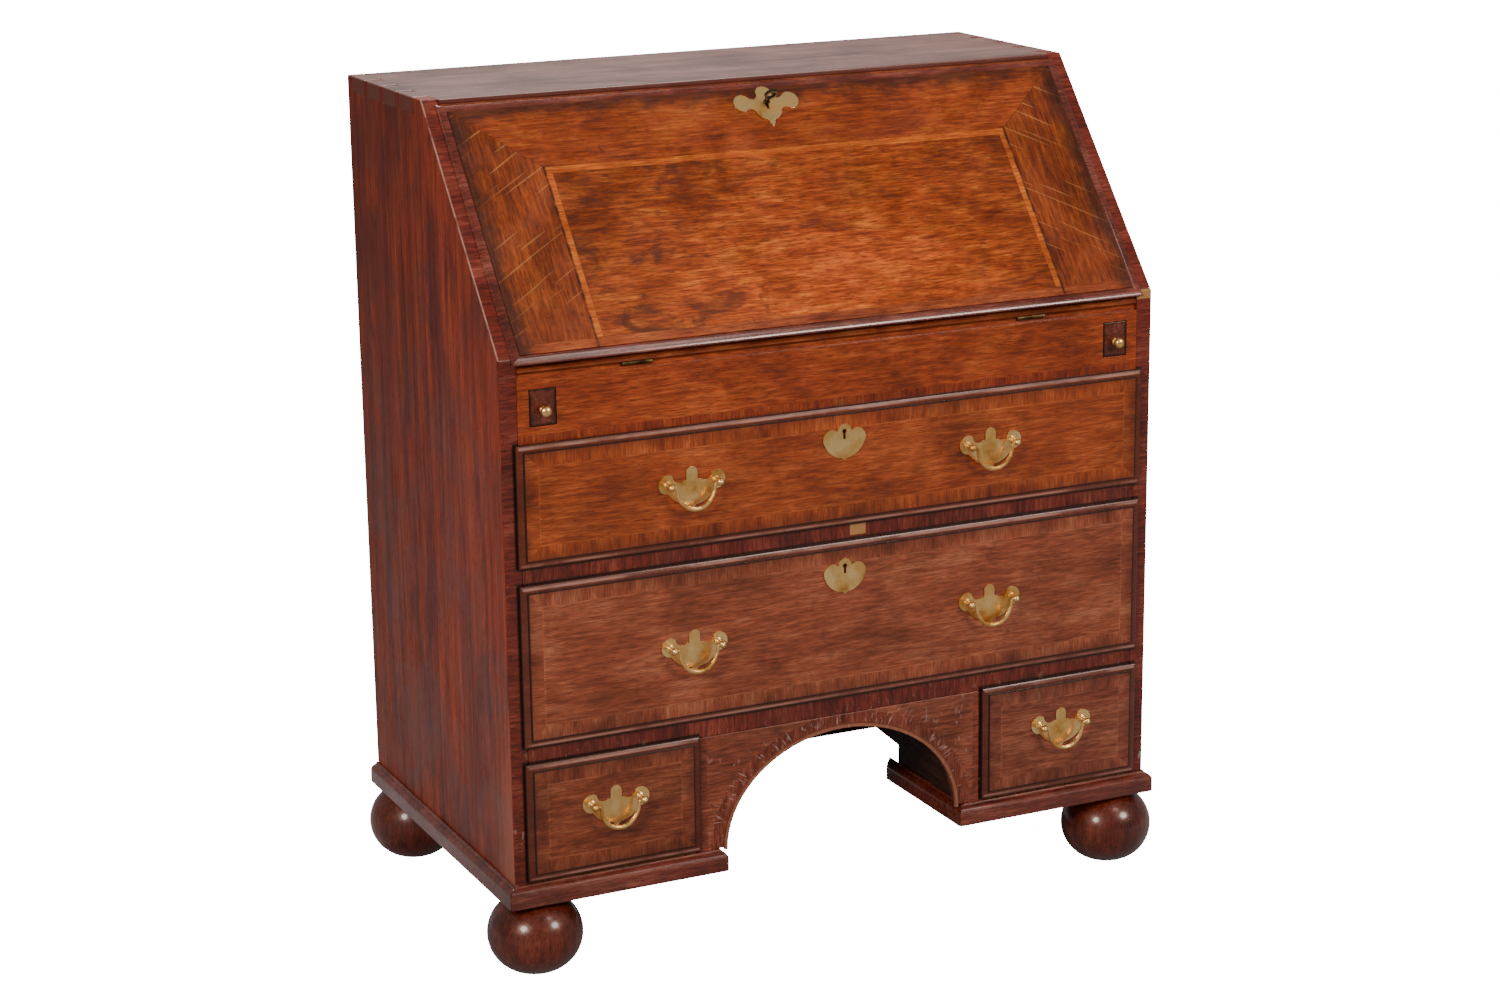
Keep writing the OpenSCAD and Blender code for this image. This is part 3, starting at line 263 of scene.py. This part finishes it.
def brass(name, dark="#A8682C", mid="#E0A85C", light="#F8CC86", rough=0.27):
    # Old cast brass, hand polished: bright on what hands touch, brown in the hollows.
    material, tree, shader, place = stuff(name)
    spots = streaks(tree, place, (0.03, 0.03, 0.03), 3, 0.55)
    fine = streaks(tree, place, (0.004, 0.004, 0.004), 2)
    colour = ramp(tree, spots, {0.26: dark, 0.4: mid, 0.58: light})
    tree.links.new(colour, shader.inputs["Base Color"])
    tree.links.new(span(tree, spots, 0.3, 0.7, rough + 0.14, rough), shader.inputs["Roughness"])
    shader.inputs["Metallic"].default_value = 1.0
    bump = add(tree, "ShaderNodeBump", {"Height": fine, "Strength": 0.12, "Distance": 0.2 * mm})
    tree.links.new(bump.outputs[0], shader.inputs["Normal"])
    return material


def iron(name):
    # Forged iron, rubbed and waxed: dark brown-grey with a dull shine.
    material, tree, shader, place = stuff(name)
    spots = streaks(tree, place, (0.006, 0.006, 0.006), 4, 0.6)
    tree.links.new(ramp(tree, spots, {0.3: "#1E1712", 0.7: "#5C5148"}), shader.inputs["Base Color"])
    shader.inputs["Metallic"].default_value = 0.9
    shader.inputs["Roughness"].default_value = 0.42
    return material


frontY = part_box("frieze_rail")[0][1]
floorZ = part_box("writing_floor")[1][2]

fallInlay = {"fieldHalf": 312.2 * mm, "fieldLow": 28.7 * mm, "fieldHigh": 257.7 * mm, "string": 9 * mm,
             "edgeHalf": 421.9 * mm, "edgeHigh": 355.6 * mm, "hinge": 4 * mm, "slope": 50}


def upTheFall(tree, place):
    # x across, y up the slope from the hinge line, z out of the face
    hingeLine = (0, frontY + fallInlay["hinge"], floorZ)
    home = add(tree, "ShaderNodeVectorMath", {0: place, 1: hingeLine}, operation="SUBTRACT")
    turn = add(tree, "ShaderNodeMapping", {"Vector": home.outputs[0],
                                           "Rotation": (-math.radians(fallInlay["slope"]), 0, 0)})
    return turn.outputs[0]


def mitre(tree, place):
    # how far outside the mitre line a point is, positive on the side bands
    f = fallInlay
    x, u, v = axes(tree, place)
    out = sums(tree, "SUBTRACT", sums(tree, "ABSOLUTE", x), f["fieldHalf"] + f["string"])
    rise = (f["edgeHalf"] - f["fieldHalf"] - f["string"]) / (f["edgeHigh"] - f["fieldHigh"] - f["string"])
    up = sums(tree, "MULTIPLY", sums(tree, "SUBTRACT", u, f["fieldHigh"] + f["string"]), rise)
    return out, u, sums(tree, "SUBTRACT", out, sums(tree, "MAXIMUM", up, 0.0))


def bandZones(tree, place):
    f = fallInlay
    out, u, over = mitre(tree, place)
    stringTop = f["fieldHigh"] + f["string"]
    side = span(tree, over, -fineJoint, fineJoint)
    foot = span(tree, u, f["fieldLow"] - fineJoint, f["fieldLow"] + fineJoint, 1.0, 0.0)
    line = sums(tree, "MULTIPLY", span(tree, out, -fineJoint, fineJoint, 1.0, 0.0),
                span(tree, u, stringTop - fineJoint, stringTop + fineJoint, 1.0, 0.0))
    line = sums(tree, "MULTIPLY", line, sums(tree, "SUBTRACT", 1.0, foot))
    return [
        (side, {"grain": "y", "shift": (0.4, 0, 0), "dark": "#4A1604", "mid": "#86360E", "light": "#A85218",
                "fleck": 0.4}),
        (foot, {"grain": "x", "shift": (0.1, 0, 0), "dark": "#5A1E0A", "mid": "#94401A", "light": "#B85E2A"}),
        (line, {"grain": "x", "shift": (0, 0.2, 0), "dark": "#8E3208", "mid": "#BE5814", "light": "#DC7A24"}),
    ]


def bandLines(tree, place, colour):
    f = fallInlay
    out, u, over = mitre(tree, place)
    mitreLine = sums(tree, "MULTIPLY", band(tree, over, -0.0006, 0.0006, 0.0003), 0.4)
    colour = blend(tree, mitreLine, colour, rgb("#1A0703"))
    # dark old wax gathers along the moulding
    edge = sums(tree, "MINIMUM", sums(tree, "SUBTRACT", f["edgeHalf"] - f["fieldHalf"] - f["string"], out),
                sums(tree, "SUBTRACT", f["edgeHigh"], u))
    ragged = sums(tree, "ADD", edge, sums(tree, "MULTIPLY", streaks(tree, place, (0.03, 0.03, 0.03), 4), -0.05))
    colour = blend(tree, span(tree, ragged, -0.024, 0.006, 0.75, 0.0), colour, rgb("#1E0C0A"))
    # and in the joint of the stringing
    below = span(tree, u, f["fieldHigh"] + f["string"] + 0.001, f["fieldHigh"] + f["string"] + 0.002, 1.0, 0.0)
    ragged = streaks(tree, place, (0.02, 0.02, 0.02), 3)
    joint = sums(tree, "MULTIPLY", band(tree, sums(tree, "ABSOLUTE", out), -0.001, 0.0018, 0.001), below)
    joint = sums(tree, "MULTIPLY", joint, span(tree, ragged, 0.35, 0.6, 0.2, 0.9))
    return blend(tree, joint, colour, rgb("#2A0C04"))


def fieldPaintedSheen(tree, place, colour):
    # painted sheen: a pool of light painted lighter in the lower middle, darker towards the ends and up the slope
    x, u, v = axes(tree, place)
    across = span(tree, sums(tree, "ABSOLUTE", sums(tree, "SUBTRACT", x, 0.02)), 0.1, 0.32, 1.12, 0.72)
    up = span(tree, u, 0.05, 0.25, 1.12, 0.84)
    colour = shaded(tree, colour, sums(tree, "MULTIPLY", across, up))
    # ink and wax stains, most of them left of the middle
    ink = streaks(tree, place, (0.075, 0.045, 0.05), 4, 0.62, 0.8, (0.35, 0.1, 0))
    where = span(tree, x, -0.28, 0.12, 0.75, 0.3)
    return blend(tree, sums(tree, "MULTIPLY", span(tree, ink, 0.5, 0.66), where), colour, rgb("#3A180C"))


frontTones = {
    "upper_drawer_front": {"dark": "#64200C", "mid": "#984018", "light": "#B85C2A"},
    "lower_drawer_front": {"dark": "#622816", "mid": "#8E442A", "light": "#AA6242"},
    "short_left_front": {"dark": "#4E1C10", "mid": "#7E3A22", "light": "#9A5638"},
    "short_right_front": {"dark": "#4E1C10", "mid": "#84402A", "light": "#A05C42"},
}
frontInlay = {"frame": 27 * mm, "line": 1.6 * mm, "lip": 9 * mm}


def within(tree, value, low, high):
    # how far a value lies from the nearer of its two limits, negative outside them
    return sums(tree, "MINIMUM", sums(tree, "SUBTRACT", value, low), sums(tree, "SUBTRACT", high, value))


def insetOf(tree, place, node):
    # how far inside the outline of a front a point is: from the ends, from top and bottom
    low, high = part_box(node)
    x, y, z = axes(tree, place)
    return within(tree, x, low[0], high[0]), within(tree, z, low[2], high[2])


crossband = {"figure": (0.06, 0.06), "ring": (0.04, 0.012), "poreDepth": 0.3}


def frontZones(node, tones):
    def zones(tree, place):
        fromEnd, fromTop = insetOf(tree, place, node)
        w = frontInlay["frame"]
        level = span(tree, fromTop, w - veneerJoint, w + veneerJoint, 1.0, 0.0)
        ends = sums(tree, "MULTIPLY", span(tree, fromEnd, w - veneerJoint, w + veneerJoint, 1.0, 0.0),
                    span(tree, sums(tree, "SUBTRACT", fromTop, fromEnd), -veneerJoint, veneerJoint))
        inner = sums(tree, "MINIMUM", fromEnd, fromTop)
        line = sums(tree, "MULTIPLY", band(tree, inner, w, w + frontInlay["line"], 0.0004), 0.5)
        return [
            (level, dict(crossband, grain="z")),
            (ends, dict(crossband, grain="x", shift=(0.2, 0, 0))),
            (line, {"mid": tones["light"]}),
        ]
    return zones


def frontLip(node):
    def overlay(tree, place, colour):
        # dark moulded lip with a painted pinkish highlight along the rounds of its top and bottom edges; old wax lies
        # along its inside
        fromEnd, fromTop = insetOf(tree, place, node)
        inner = sums(tree, "MINIMUM", fromEnd, fromTop)
        ragged = sums(tree, "ADD", inner, sums(tree, "MULTIPLY", streaks(tree, place, (0.05, 0.05, 0.05), 4), -0.03))
        colour = blend(tree, span(tree, ragged, -0.014, 0.012, 0.5, 0.0), colour, rgb("#2A0E08"))
        lip = frontInlay["lip"]
        colour = blend(tree, span(tree, inner, lip - 0.0006, lip + 0.0004, 0.6, 0.0), colour, rgb("#4E1C12"))
        colour = blend(tree, band(tree, inner, lip - 0.0004, lip + 0.0016, 0.0006), colour, rgb("#260C06"))
        # painted highlight: a pale pinkish line along the round of the lip's top and bottom edges, broken up by noise
        highlightBreakup = span(tree, streaks(tree, place, (0.09, 0.03, 0.09), 4), 0.36, 0.6, 0.1, 0.6)
        paintedHighlight = sums(tree, "MULTIPLY", band(tree, fromTop, lip - 0.0062, lip - 0.0032, 0.0009), highlightBreakup)
        paintedHighlight = sums(tree, "MULTIPLY", paintedHighlight, span(tree, fromEnd, lip - 0.007, lip - 0.004))
        colour = blend(tree, paintedHighlight, colour, rgb("#C08876"))
        # painted shade: near-black on the outer millimetre of the lip, where the gap round the front lies
        return blend(tree, span(tree, inner, 0.0006, 0.0014, 0.8, 0.0), colour, rgb("#140604"))
    return overlay


archInlay = {"centreZ": 123 * mm, "half": 168 * mm, "rise": 139 * mm, "band": 18 * mm}


def aroundTheArch(tree, place):
    # level: 1 on the arch itself; turn: the angle round it
    a = archInlay
    x, y, z = axes(tree, place)
    up = sums(tree, "MULTIPLY", sums(tree, "SUBTRACT", z, a["centreZ"]), 1 / a["rise"])
    out = sums(tree, "MULTIPLY", x, 1 / a["half"])
    bow = sums(tree, "MAXIMUM", up, 0.0)
    level = sums(tree, "SQRT", sums(tree, "ADD", sums(tree, "POWER", sums(tree, "ABSOLUTE", out), 2.0),
                                    sums(tree, "POWER", bow, 2.0)))
    return level, sums(tree, "ARCTAN2", up, out)


railInlay = {"apronHalf": 207 * mm, "strip": 17 * mm, "stileEdge": 427 * mm, "low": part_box("drawer_rails")[0][2]}
facingTones = {"dark": "#42140A", "mid": "#7A3420", "light": "#985040", "figure": (0.03, 0.012)}


def facingZones(tree, place):
    # stiles are cross-grained; the apron is oak with its grain level, crossbanded round the arch and
    # beside the short drawers
    x, y, z = axes(tree, place)
    out = sums(tree, "ABSOLUTE", x)
    r = railInlay
    under = span(tree, z, r["low"] - fineJoint, r["low"] + fineJoint, 1.0, 0.0)
    apron = sums(tree, "MULTIPLY", under, span(tree, out, r["apronHalf"] + 0.001, r["apronHalf"] + 0.002, 1.0, 0.0))
    inset = r["apronHalf"] - r["strip"]
    strip = sums(tree, "MULTIPLY", apron, span(tree, out, inset - veneerJoint, inset + veneerJoint))
    level = aroundTheArch(tree, place)[0]
    edge = 1 + archInlay["band"] / archInlay["half"]
    ring = sums(tree, "MULTIPLY", apron, span(tree, level, edge - 0.002, edge + 0.002, 1.0, 0.0))
    return [
        (span(tree, out, r["stileEdge"] - 0.0005, r["stileEdge"] + 0.0005), {"grain": "x", "shift": (0, 0, 0.3)}),
        (apron, {"grain": "x", "dark": "#4E1C0E", "mid": "#84402A", "light": "#A05C44", "ring": (0.06, 0.0045)}),
        (strip, dict(facingTones, grain="x")),
        (ring, dict(facingTones, grain="z")),
    ]


patches = {"leftHigh": (1012 * mm, 1034 * mm), "rightLow": (770 * mm, 788 * mm), "lock": (12 * mm, 34 * mm)}


def facingPatches(tree, place, colour):
    # old repairs let in with pale new wood: high on the left slant, low on the right one, and over a lock
    x, y, z = axes(tree, place)
    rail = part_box("drawer_rails")[1][2]
    edge = railInlay["stileEdge"]
    left = sums(tree, "MULTIPLY", span(tree, x, -edge - 0.0005, -edge, 1.0, 0.0), band(tree, z, *patches["leftHigh"]))
    right = sums(tree, "MULTIPLY", span(tree, x, edge + 0.0005, edge + 0.001), band(tree, z, *patches["rightLow"]))
    middle = sums(tree, "MULTIPLY", band(tree, x, *patches["lock"]), band(tree, z, rail - 0.02, rail + 0.001))
    spot = sums(tree, "MAXIMUM", sums(tree, "MAXIMUM", left, right), middle)
    colour = blend(tree, sums(tree, "MULTIPLY", spot, 0.85), colour, rgb("#B07C48"))
    for node in frontTones:
        # painted shade in the gap round each front
        fromEnd, fromTop = insetOf(tree, place, node)
        inner = sums(tree, "MINIMUM", fromEnd, fromTop)
        colour = blend(tree, span(tree, inner, -0.0034, -0.0012, 0.0, 0.85), colour, rgb("#120504"))
    level, turn = aroundTheArch(tree, place)
    below = span(tree, z, railInlay["low"], railInlay["low"] + 0.02, 1.0, 0.3)
    fan = add(tree, "ShaderNodeCombineXYZ", {0: sums(tree, "MULTIPLY", turn, 55.0),
                                             1: sums(tree, "MULTIPLY", level, 8.0)})
    crack = add(tree, "ShaderNodeTexNoise", {"Vector": fan.outputs[0], "Scale": 1.0, "Detail": 2.0}).outputs["Fac"]
    near = sums(tree, "MULTIPLY", span(tree, level, 1.03, 1.24, 1.0, 0.0), below)
    # the veneer has cracked and chipped fanwise round the arch, and whitish dirt sits in the cracks
    colour = blend(tree, sums(tree, "MULTIPLY", sums(tree, "MULTIPLY", span(tree, crack, 0.62, 0.67), near), 0.6),
                   colour, rgb("#B89C92"))
    chips = streaks(tree, place, (0.008, 0.008, 0.02), 2, 0.5)
    low = span(tree, z, 0.12, 0.36, 0.5, 0.0)
    colour = blend(tree, sums(tree, "MULTIPLY", span(tree, chips, 0.68, 0.71), low), colour, rgb("#B49488"))
    # pale rubbed arris of the arch
    rub = sums(tree, "MULTIPLY", span(tree, level, 1.006, 1.012, 0.5, 0.0), below)
    return blend(tree, rub, colour, rgb("#A86A50"))


def friezeZones(tree, place):
    x, y, z = axes(tree, place)
    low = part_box("frieze_rail")[0][2]
    keeper = sums(tree, "MULTIPLY", band(tree, x, -0.007, 0.007), band(tree, z, low, low + 0.012))
    return [(span(tree, z, low + 0.0137, low + 0.0143, 1.0, 0.0),
             {"grain": "z", "dark": "#4E1608", "mid": "#862E10", "light": "#A04C1E", "figure": (0.05, 0.05)}),
            (keeper, {"grain": "z", "dark": "#5A2408", "mid": "#8A4418", "light": "#A8602A"})]


sideEdge = {"proud": 14.4 * mm, "outer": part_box("side_right")[1][0]}


def sideBoards(tree, place, colour):
    # the joint between two boards, a paler front one, rubbed arrises, and paler low towards the front near the foot
    x, y, z = axes(tree, place)
    wave = sums(tree, "MULTIPLY", streaks(tree, place, (0.4, 0.4, 0.4), 1), 0.012)
    seam = sums(tree, "ADD", y, wave)
    colour = shaded(tree, colour, span(tree, seam, -0.002, 0.002, 1.1, 0.85))
    crack = sums(tree, "MULTIPLY", band(tree, seam, -0.0008, 0.0008, 0.0004), 0.7)
    colour = blend(tree, crack, colour, rgb("#1C0703"))
    gloom = streaks(tree, place, (0.05, 0.05, 0.22), 3, 0.6, 0.8)
    colour = blend(tree, span(tree, gloom, 0.5, 0.68, 0.0, 0.55), colour, rgb("#341218"))
    # paler low towards the front, near the foot
    toneMask = sums(tree, "MULTIPLY", span(tree, y, frontY, frontY + 0.09, 1.0, 0.0), span(tree, z, 0.12, 0.4, 1.0, 0.0))
    colour = blend(tree, sums(tree, "MULTIPLY", toneMask, 0.5), colour, rgb("#AE6A50"))
    tilt = math.radians(fallInlay["slope"])
    over = sums(tree, "SUBTRACT", sums(tree, "MULTIPLY", sums(tree, "SUBTRACT", z, floorZ), math.cos(tilt)),
                sums(tree, "MULTIPLY", sums(tree, "SUBTRACT", y, frontY + fallInlay["hinge"]), math.sin(tilt)))
    slant = span(tree, over, sideEdge["proud"] - 0.0016, sideEdge["proud"] - 0.0008)
    front = span(tree, y, frontY + 0.0012, frontY + 0.0024, 1.0, 0.0)
    edge = sums(tree, "MAXIMUM", slant, front)
    veneer = grainTone(tree, place, dict(oakDefaults, grain="x", dark="#32090A", mid="#6E2418", light="#8E4430"))[0]
    colour = blend(tree, edge, colour, veneer)
    # bare pale wood where the outer arris is rubbed through
    outer = span(tree, sums(tree, "ABSOLUTE", x), sideEdge["outer"] - 0.0022, sideEdge["outer"] - 0.0012)
    rub = sums(tree, "MULTIPLY", outer,
               span(tree, streaks(tree, place, (0.01, 0.03, 0.03), 4), 0.36, 0.56, 0.15, 0.75))
    return blend(tree, sums(tree, "MULTIPLY", edge, rub), colour, rgb("#BC8C7A"))


def loperFace(tree, place, colour):
    # end grain, painted black round its edge as the shade of the gap round the loper; the middle keeps its own tone
    x, y, z = axes(tree, place)
    low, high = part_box("loper_right")
    out = sums(tree, "ABSOLUTE", x)
    edge = sums(tree, "MINIMUM", within(tree, out, low[0], high[0]), within(tree, z, low[2], high[2]))
    ragged = sums(tree, "ADD", edge, sums(tree, "MULTIPLY", streaks(tree, place, (0.012, 0.012, 0.012), 3), -0.006))
    toneMask = sums(tree, "MULTIPLY", span(tree, ragged, -0.003, 0.001, 0.9, 0.0),
                span(tree, y, low[1] + 0.0005, low[1] + 0.002, 1.0, 0.0))
    return blend(tree, toneMask, colour, rgb("#0C0403"))


def topEdge(tree, place, colour):
    # grey-brown face, its grey partly a painted sheen, with a redder strip along the front edge
    x, y, z = axes(tree, place)
    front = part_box("top_board")[0][1]
    colour = blend(tree, span(tree, y, front + 0.006, front + 0.009, 0.8, 0.0), colour, rgb("#5A1E12"))
    # the dovetails' end grain, stained like the sides
    ends = span(tree, sums(tree, "ABSOLUTE", x), sideEdge["outer"] - 0.0016, sideEdge["outer"] - 0.001, 0.0, 0.9)
    return blend(tree, ends, colour, rgb("#642414"))


finishes = {
    "side": oak("oakSide", grain="z", dark="#56180A", mid="#8A3016", light="#A84624", figure=(0.4, 0.03),
                ring=(0.3, 0.007), fibre=(0.09, 0.0018), overlay=sideBoards, stain=0.3, gloss=0.34, coat=0.0,
                shine=0.3),
    # the top's pale grey-brown tones are partly a painted greyish sheen
    "top": oak("oakTop", grain="x", dark="#52302A", mid="#80544A", light="#986C62", overlay=topEdge, gloss=0.36,
               coat=0.25, figure=(0.4, 0.03), fibre=(0.09, 0.0018)),
    "facing": oak("walnutFacing", grain="z", dark="#32090A", mid="#6E2418", light="#8E4430", ring=(0.04, 0.004),
                  zones=facingZones, overlay=facingPatches),
    "frieze": oak("friezeOak", grain="x", dark="#561A08", mid="#963A14", light="#B85824", zones=friezeZones),
    "moulding": oak("mouldingWalnut", grain="x", dark="#360E08", mid="#6C281A", light="#904C3A", gloss=0.2, coat=0.6,
                    shine=0.5),
    "apron": oak("apronOak", grain="x", dark="#3E160C", mid="#6E3220", light="#8A4C34", gloss=0.4, coat=0.0),
    "field": oak("oakField", grain="x", dark="#661E05", mid="#A6440E", light="#CE6A20", turned=upTheFall,
                 overlay=fieldPaintedSheen, figure=(0.06, 0.02), ring=(0.05, 0.006), fibre=(0.022, 0.0022),
                 pore=(0.014, 0.0018), poreDepth=0.7, fibreDepth=0.4, stain=0.5, gloss=0.25),
    "board": oak("fallBoardOak", grain="x", dark="#4A1608", mid="#7A3214", light="#9A5024"),
    "band": oak("oakBand", grain="x", dark="#52180A", mid="#943A0E", light="#BC5C1E", turned=upTheFall,
                zones=bandZones, overlay=bandLines, stain=0.5, gloss=0.26),
    "plain": oak("plainOak", grain="y", dark="#4A2A14", mid="#7C4E2A", light="#A07442", coat=0.0, gloss=0.6),
    # painted shade: the kneehole panels are a much darker copy of plainOak, dark as the shade in the recess
    "inside": oak("kneeholeOakPaintedShade", grain="y", dark="#180A06", mid="#321810", light="#4A281C", coat=0.0, gloss=0.6),
    "back": oak("backPlank", grain="z", dark="#2E1A10", mid="#5A3A24", light="#7A5638", coat=0.0, gloss=0.7),
    "lining": oak("drawerLining", grain="y", dark="#8A6236", mid="#B98E5A", light="#D6B07A", coat=0.0, gloss=0.6,
                  patina=0.2),
    "nest": oak("nestOak", grain="x", dark="#5A2C12", mid="#94582A", light="#B47A42", coat=0.2, gloss=0.4),
    "foot": oak("stainedFoot", grain="z", dark="#300A06", mid="#62200F", light="#803622", gloss=0.24, coat=0.5,
                shine=0.5),
    "brass": brass("polishedBrass"),
    "tarnished": brass("tarnishedBrass", dark="#2E2012", mid="#5A4426", light="#7A6038", rough=0.4),
    "loper": oak("loperWalnut", grain="y", dark="#2A0C06", mid="#5E2618", light="#7E4230", overlay=loperFace),
    "iron": iron("wornIron"),
}
for node, tones in frontTones.items():
    away = 0.37 * len(node)
    finishes[node] = oak("oak_" + node, grain="x", zones=frontZones(node, tones), overlay=frontLip(node),
                         shift=(away, 0, away), **tones)

nodeFinish = {
    "side": ["side_left", "side_right"],
    "top": ["top_board"],
    "facing": ["edge_facings", "arch_bead"],
    "frieze": ["frieze_rail"],
    "moulding": ["fall_moulding", "base_mouldings"],
    "loper": ["loper_left", "loper_right"],
    "tarnished": ["hinge_case_leaves", "hinge_fall_leaves"],
    "apron": ["arch_apron"],
    "field": ["fall_field"],
    "board": ["fall_board"],
    "band": ["fall_banding"],
    "nest": ["prospect_door", "inner_drawer_left", "inner_drawer_right", "pigeonhole_valances", "pigeonhole_case"],
    "plain": ["writing_floor", "loper_housings", "drawer_rails", "dust_boards", "pedestal_floors", "inner_framing",
              "well_cover"],
    "inside": ["kneehole_panels"],
    "back": ["back_boards"],
    "lining": ["upper_drawer_box", "lower_drawer_box", "short_left_box", "short_right_box"],
    "foot": ["bun_feet"],
    "iron": ["fall_key", "fall_lock_bolt", "upper_drawer_bolt", "lower_drawer_bolt"],
}


# Rubbed arrises: each board's sharp edges are rounded a little, so that they catch the light.
arrises = {
    0.0014: ["side_left", "side_right", "top_board", "base_mouldings", "frieze_rail", "arch_apron", "edge_facings"],
    0.0005: ["upper_drawer_brasses", "lower_drawer_brasses", "short_left_brasses", "short_right_brasses",
             "fall_escutcheon"],
    0.0009: ["loper_left", "loper_right", "fall_moulding", "upper_drawer_front", "lower_drawer_front",
             "short_left_front", "short_right_front"],
}


def roundArrises():
    for width, nodes in arrises.items():
        for name in nodes:
            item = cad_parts[name]
            item.modifiers.new("joined", "WELD").merge_threshold = 0.00001
            flat = item.modifiers.new("flat", "DECIMATE")
            flat.decimate_type = "DISSOLVE"
            flat.angle_limit = math.radians(0.5)
            soft = item.modifiers.new("arris", "BEVEL")
            soft.width = width
            soft.segments = 2
            soft.limit_method = "ANGLE"
            soft.angle_limit = math.radians(40)


def finishNodes():
    byNode = {node: finish for finish, nodes in nodeFinish.items() for node in nodes}
    for name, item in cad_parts.items():
        item.data.materials.clear()
        item.data.materials.append(finishes[name if name in finishes else byNode.get(name, "brass")])


finishNodes()
roundArrises()
print("finishes ready")
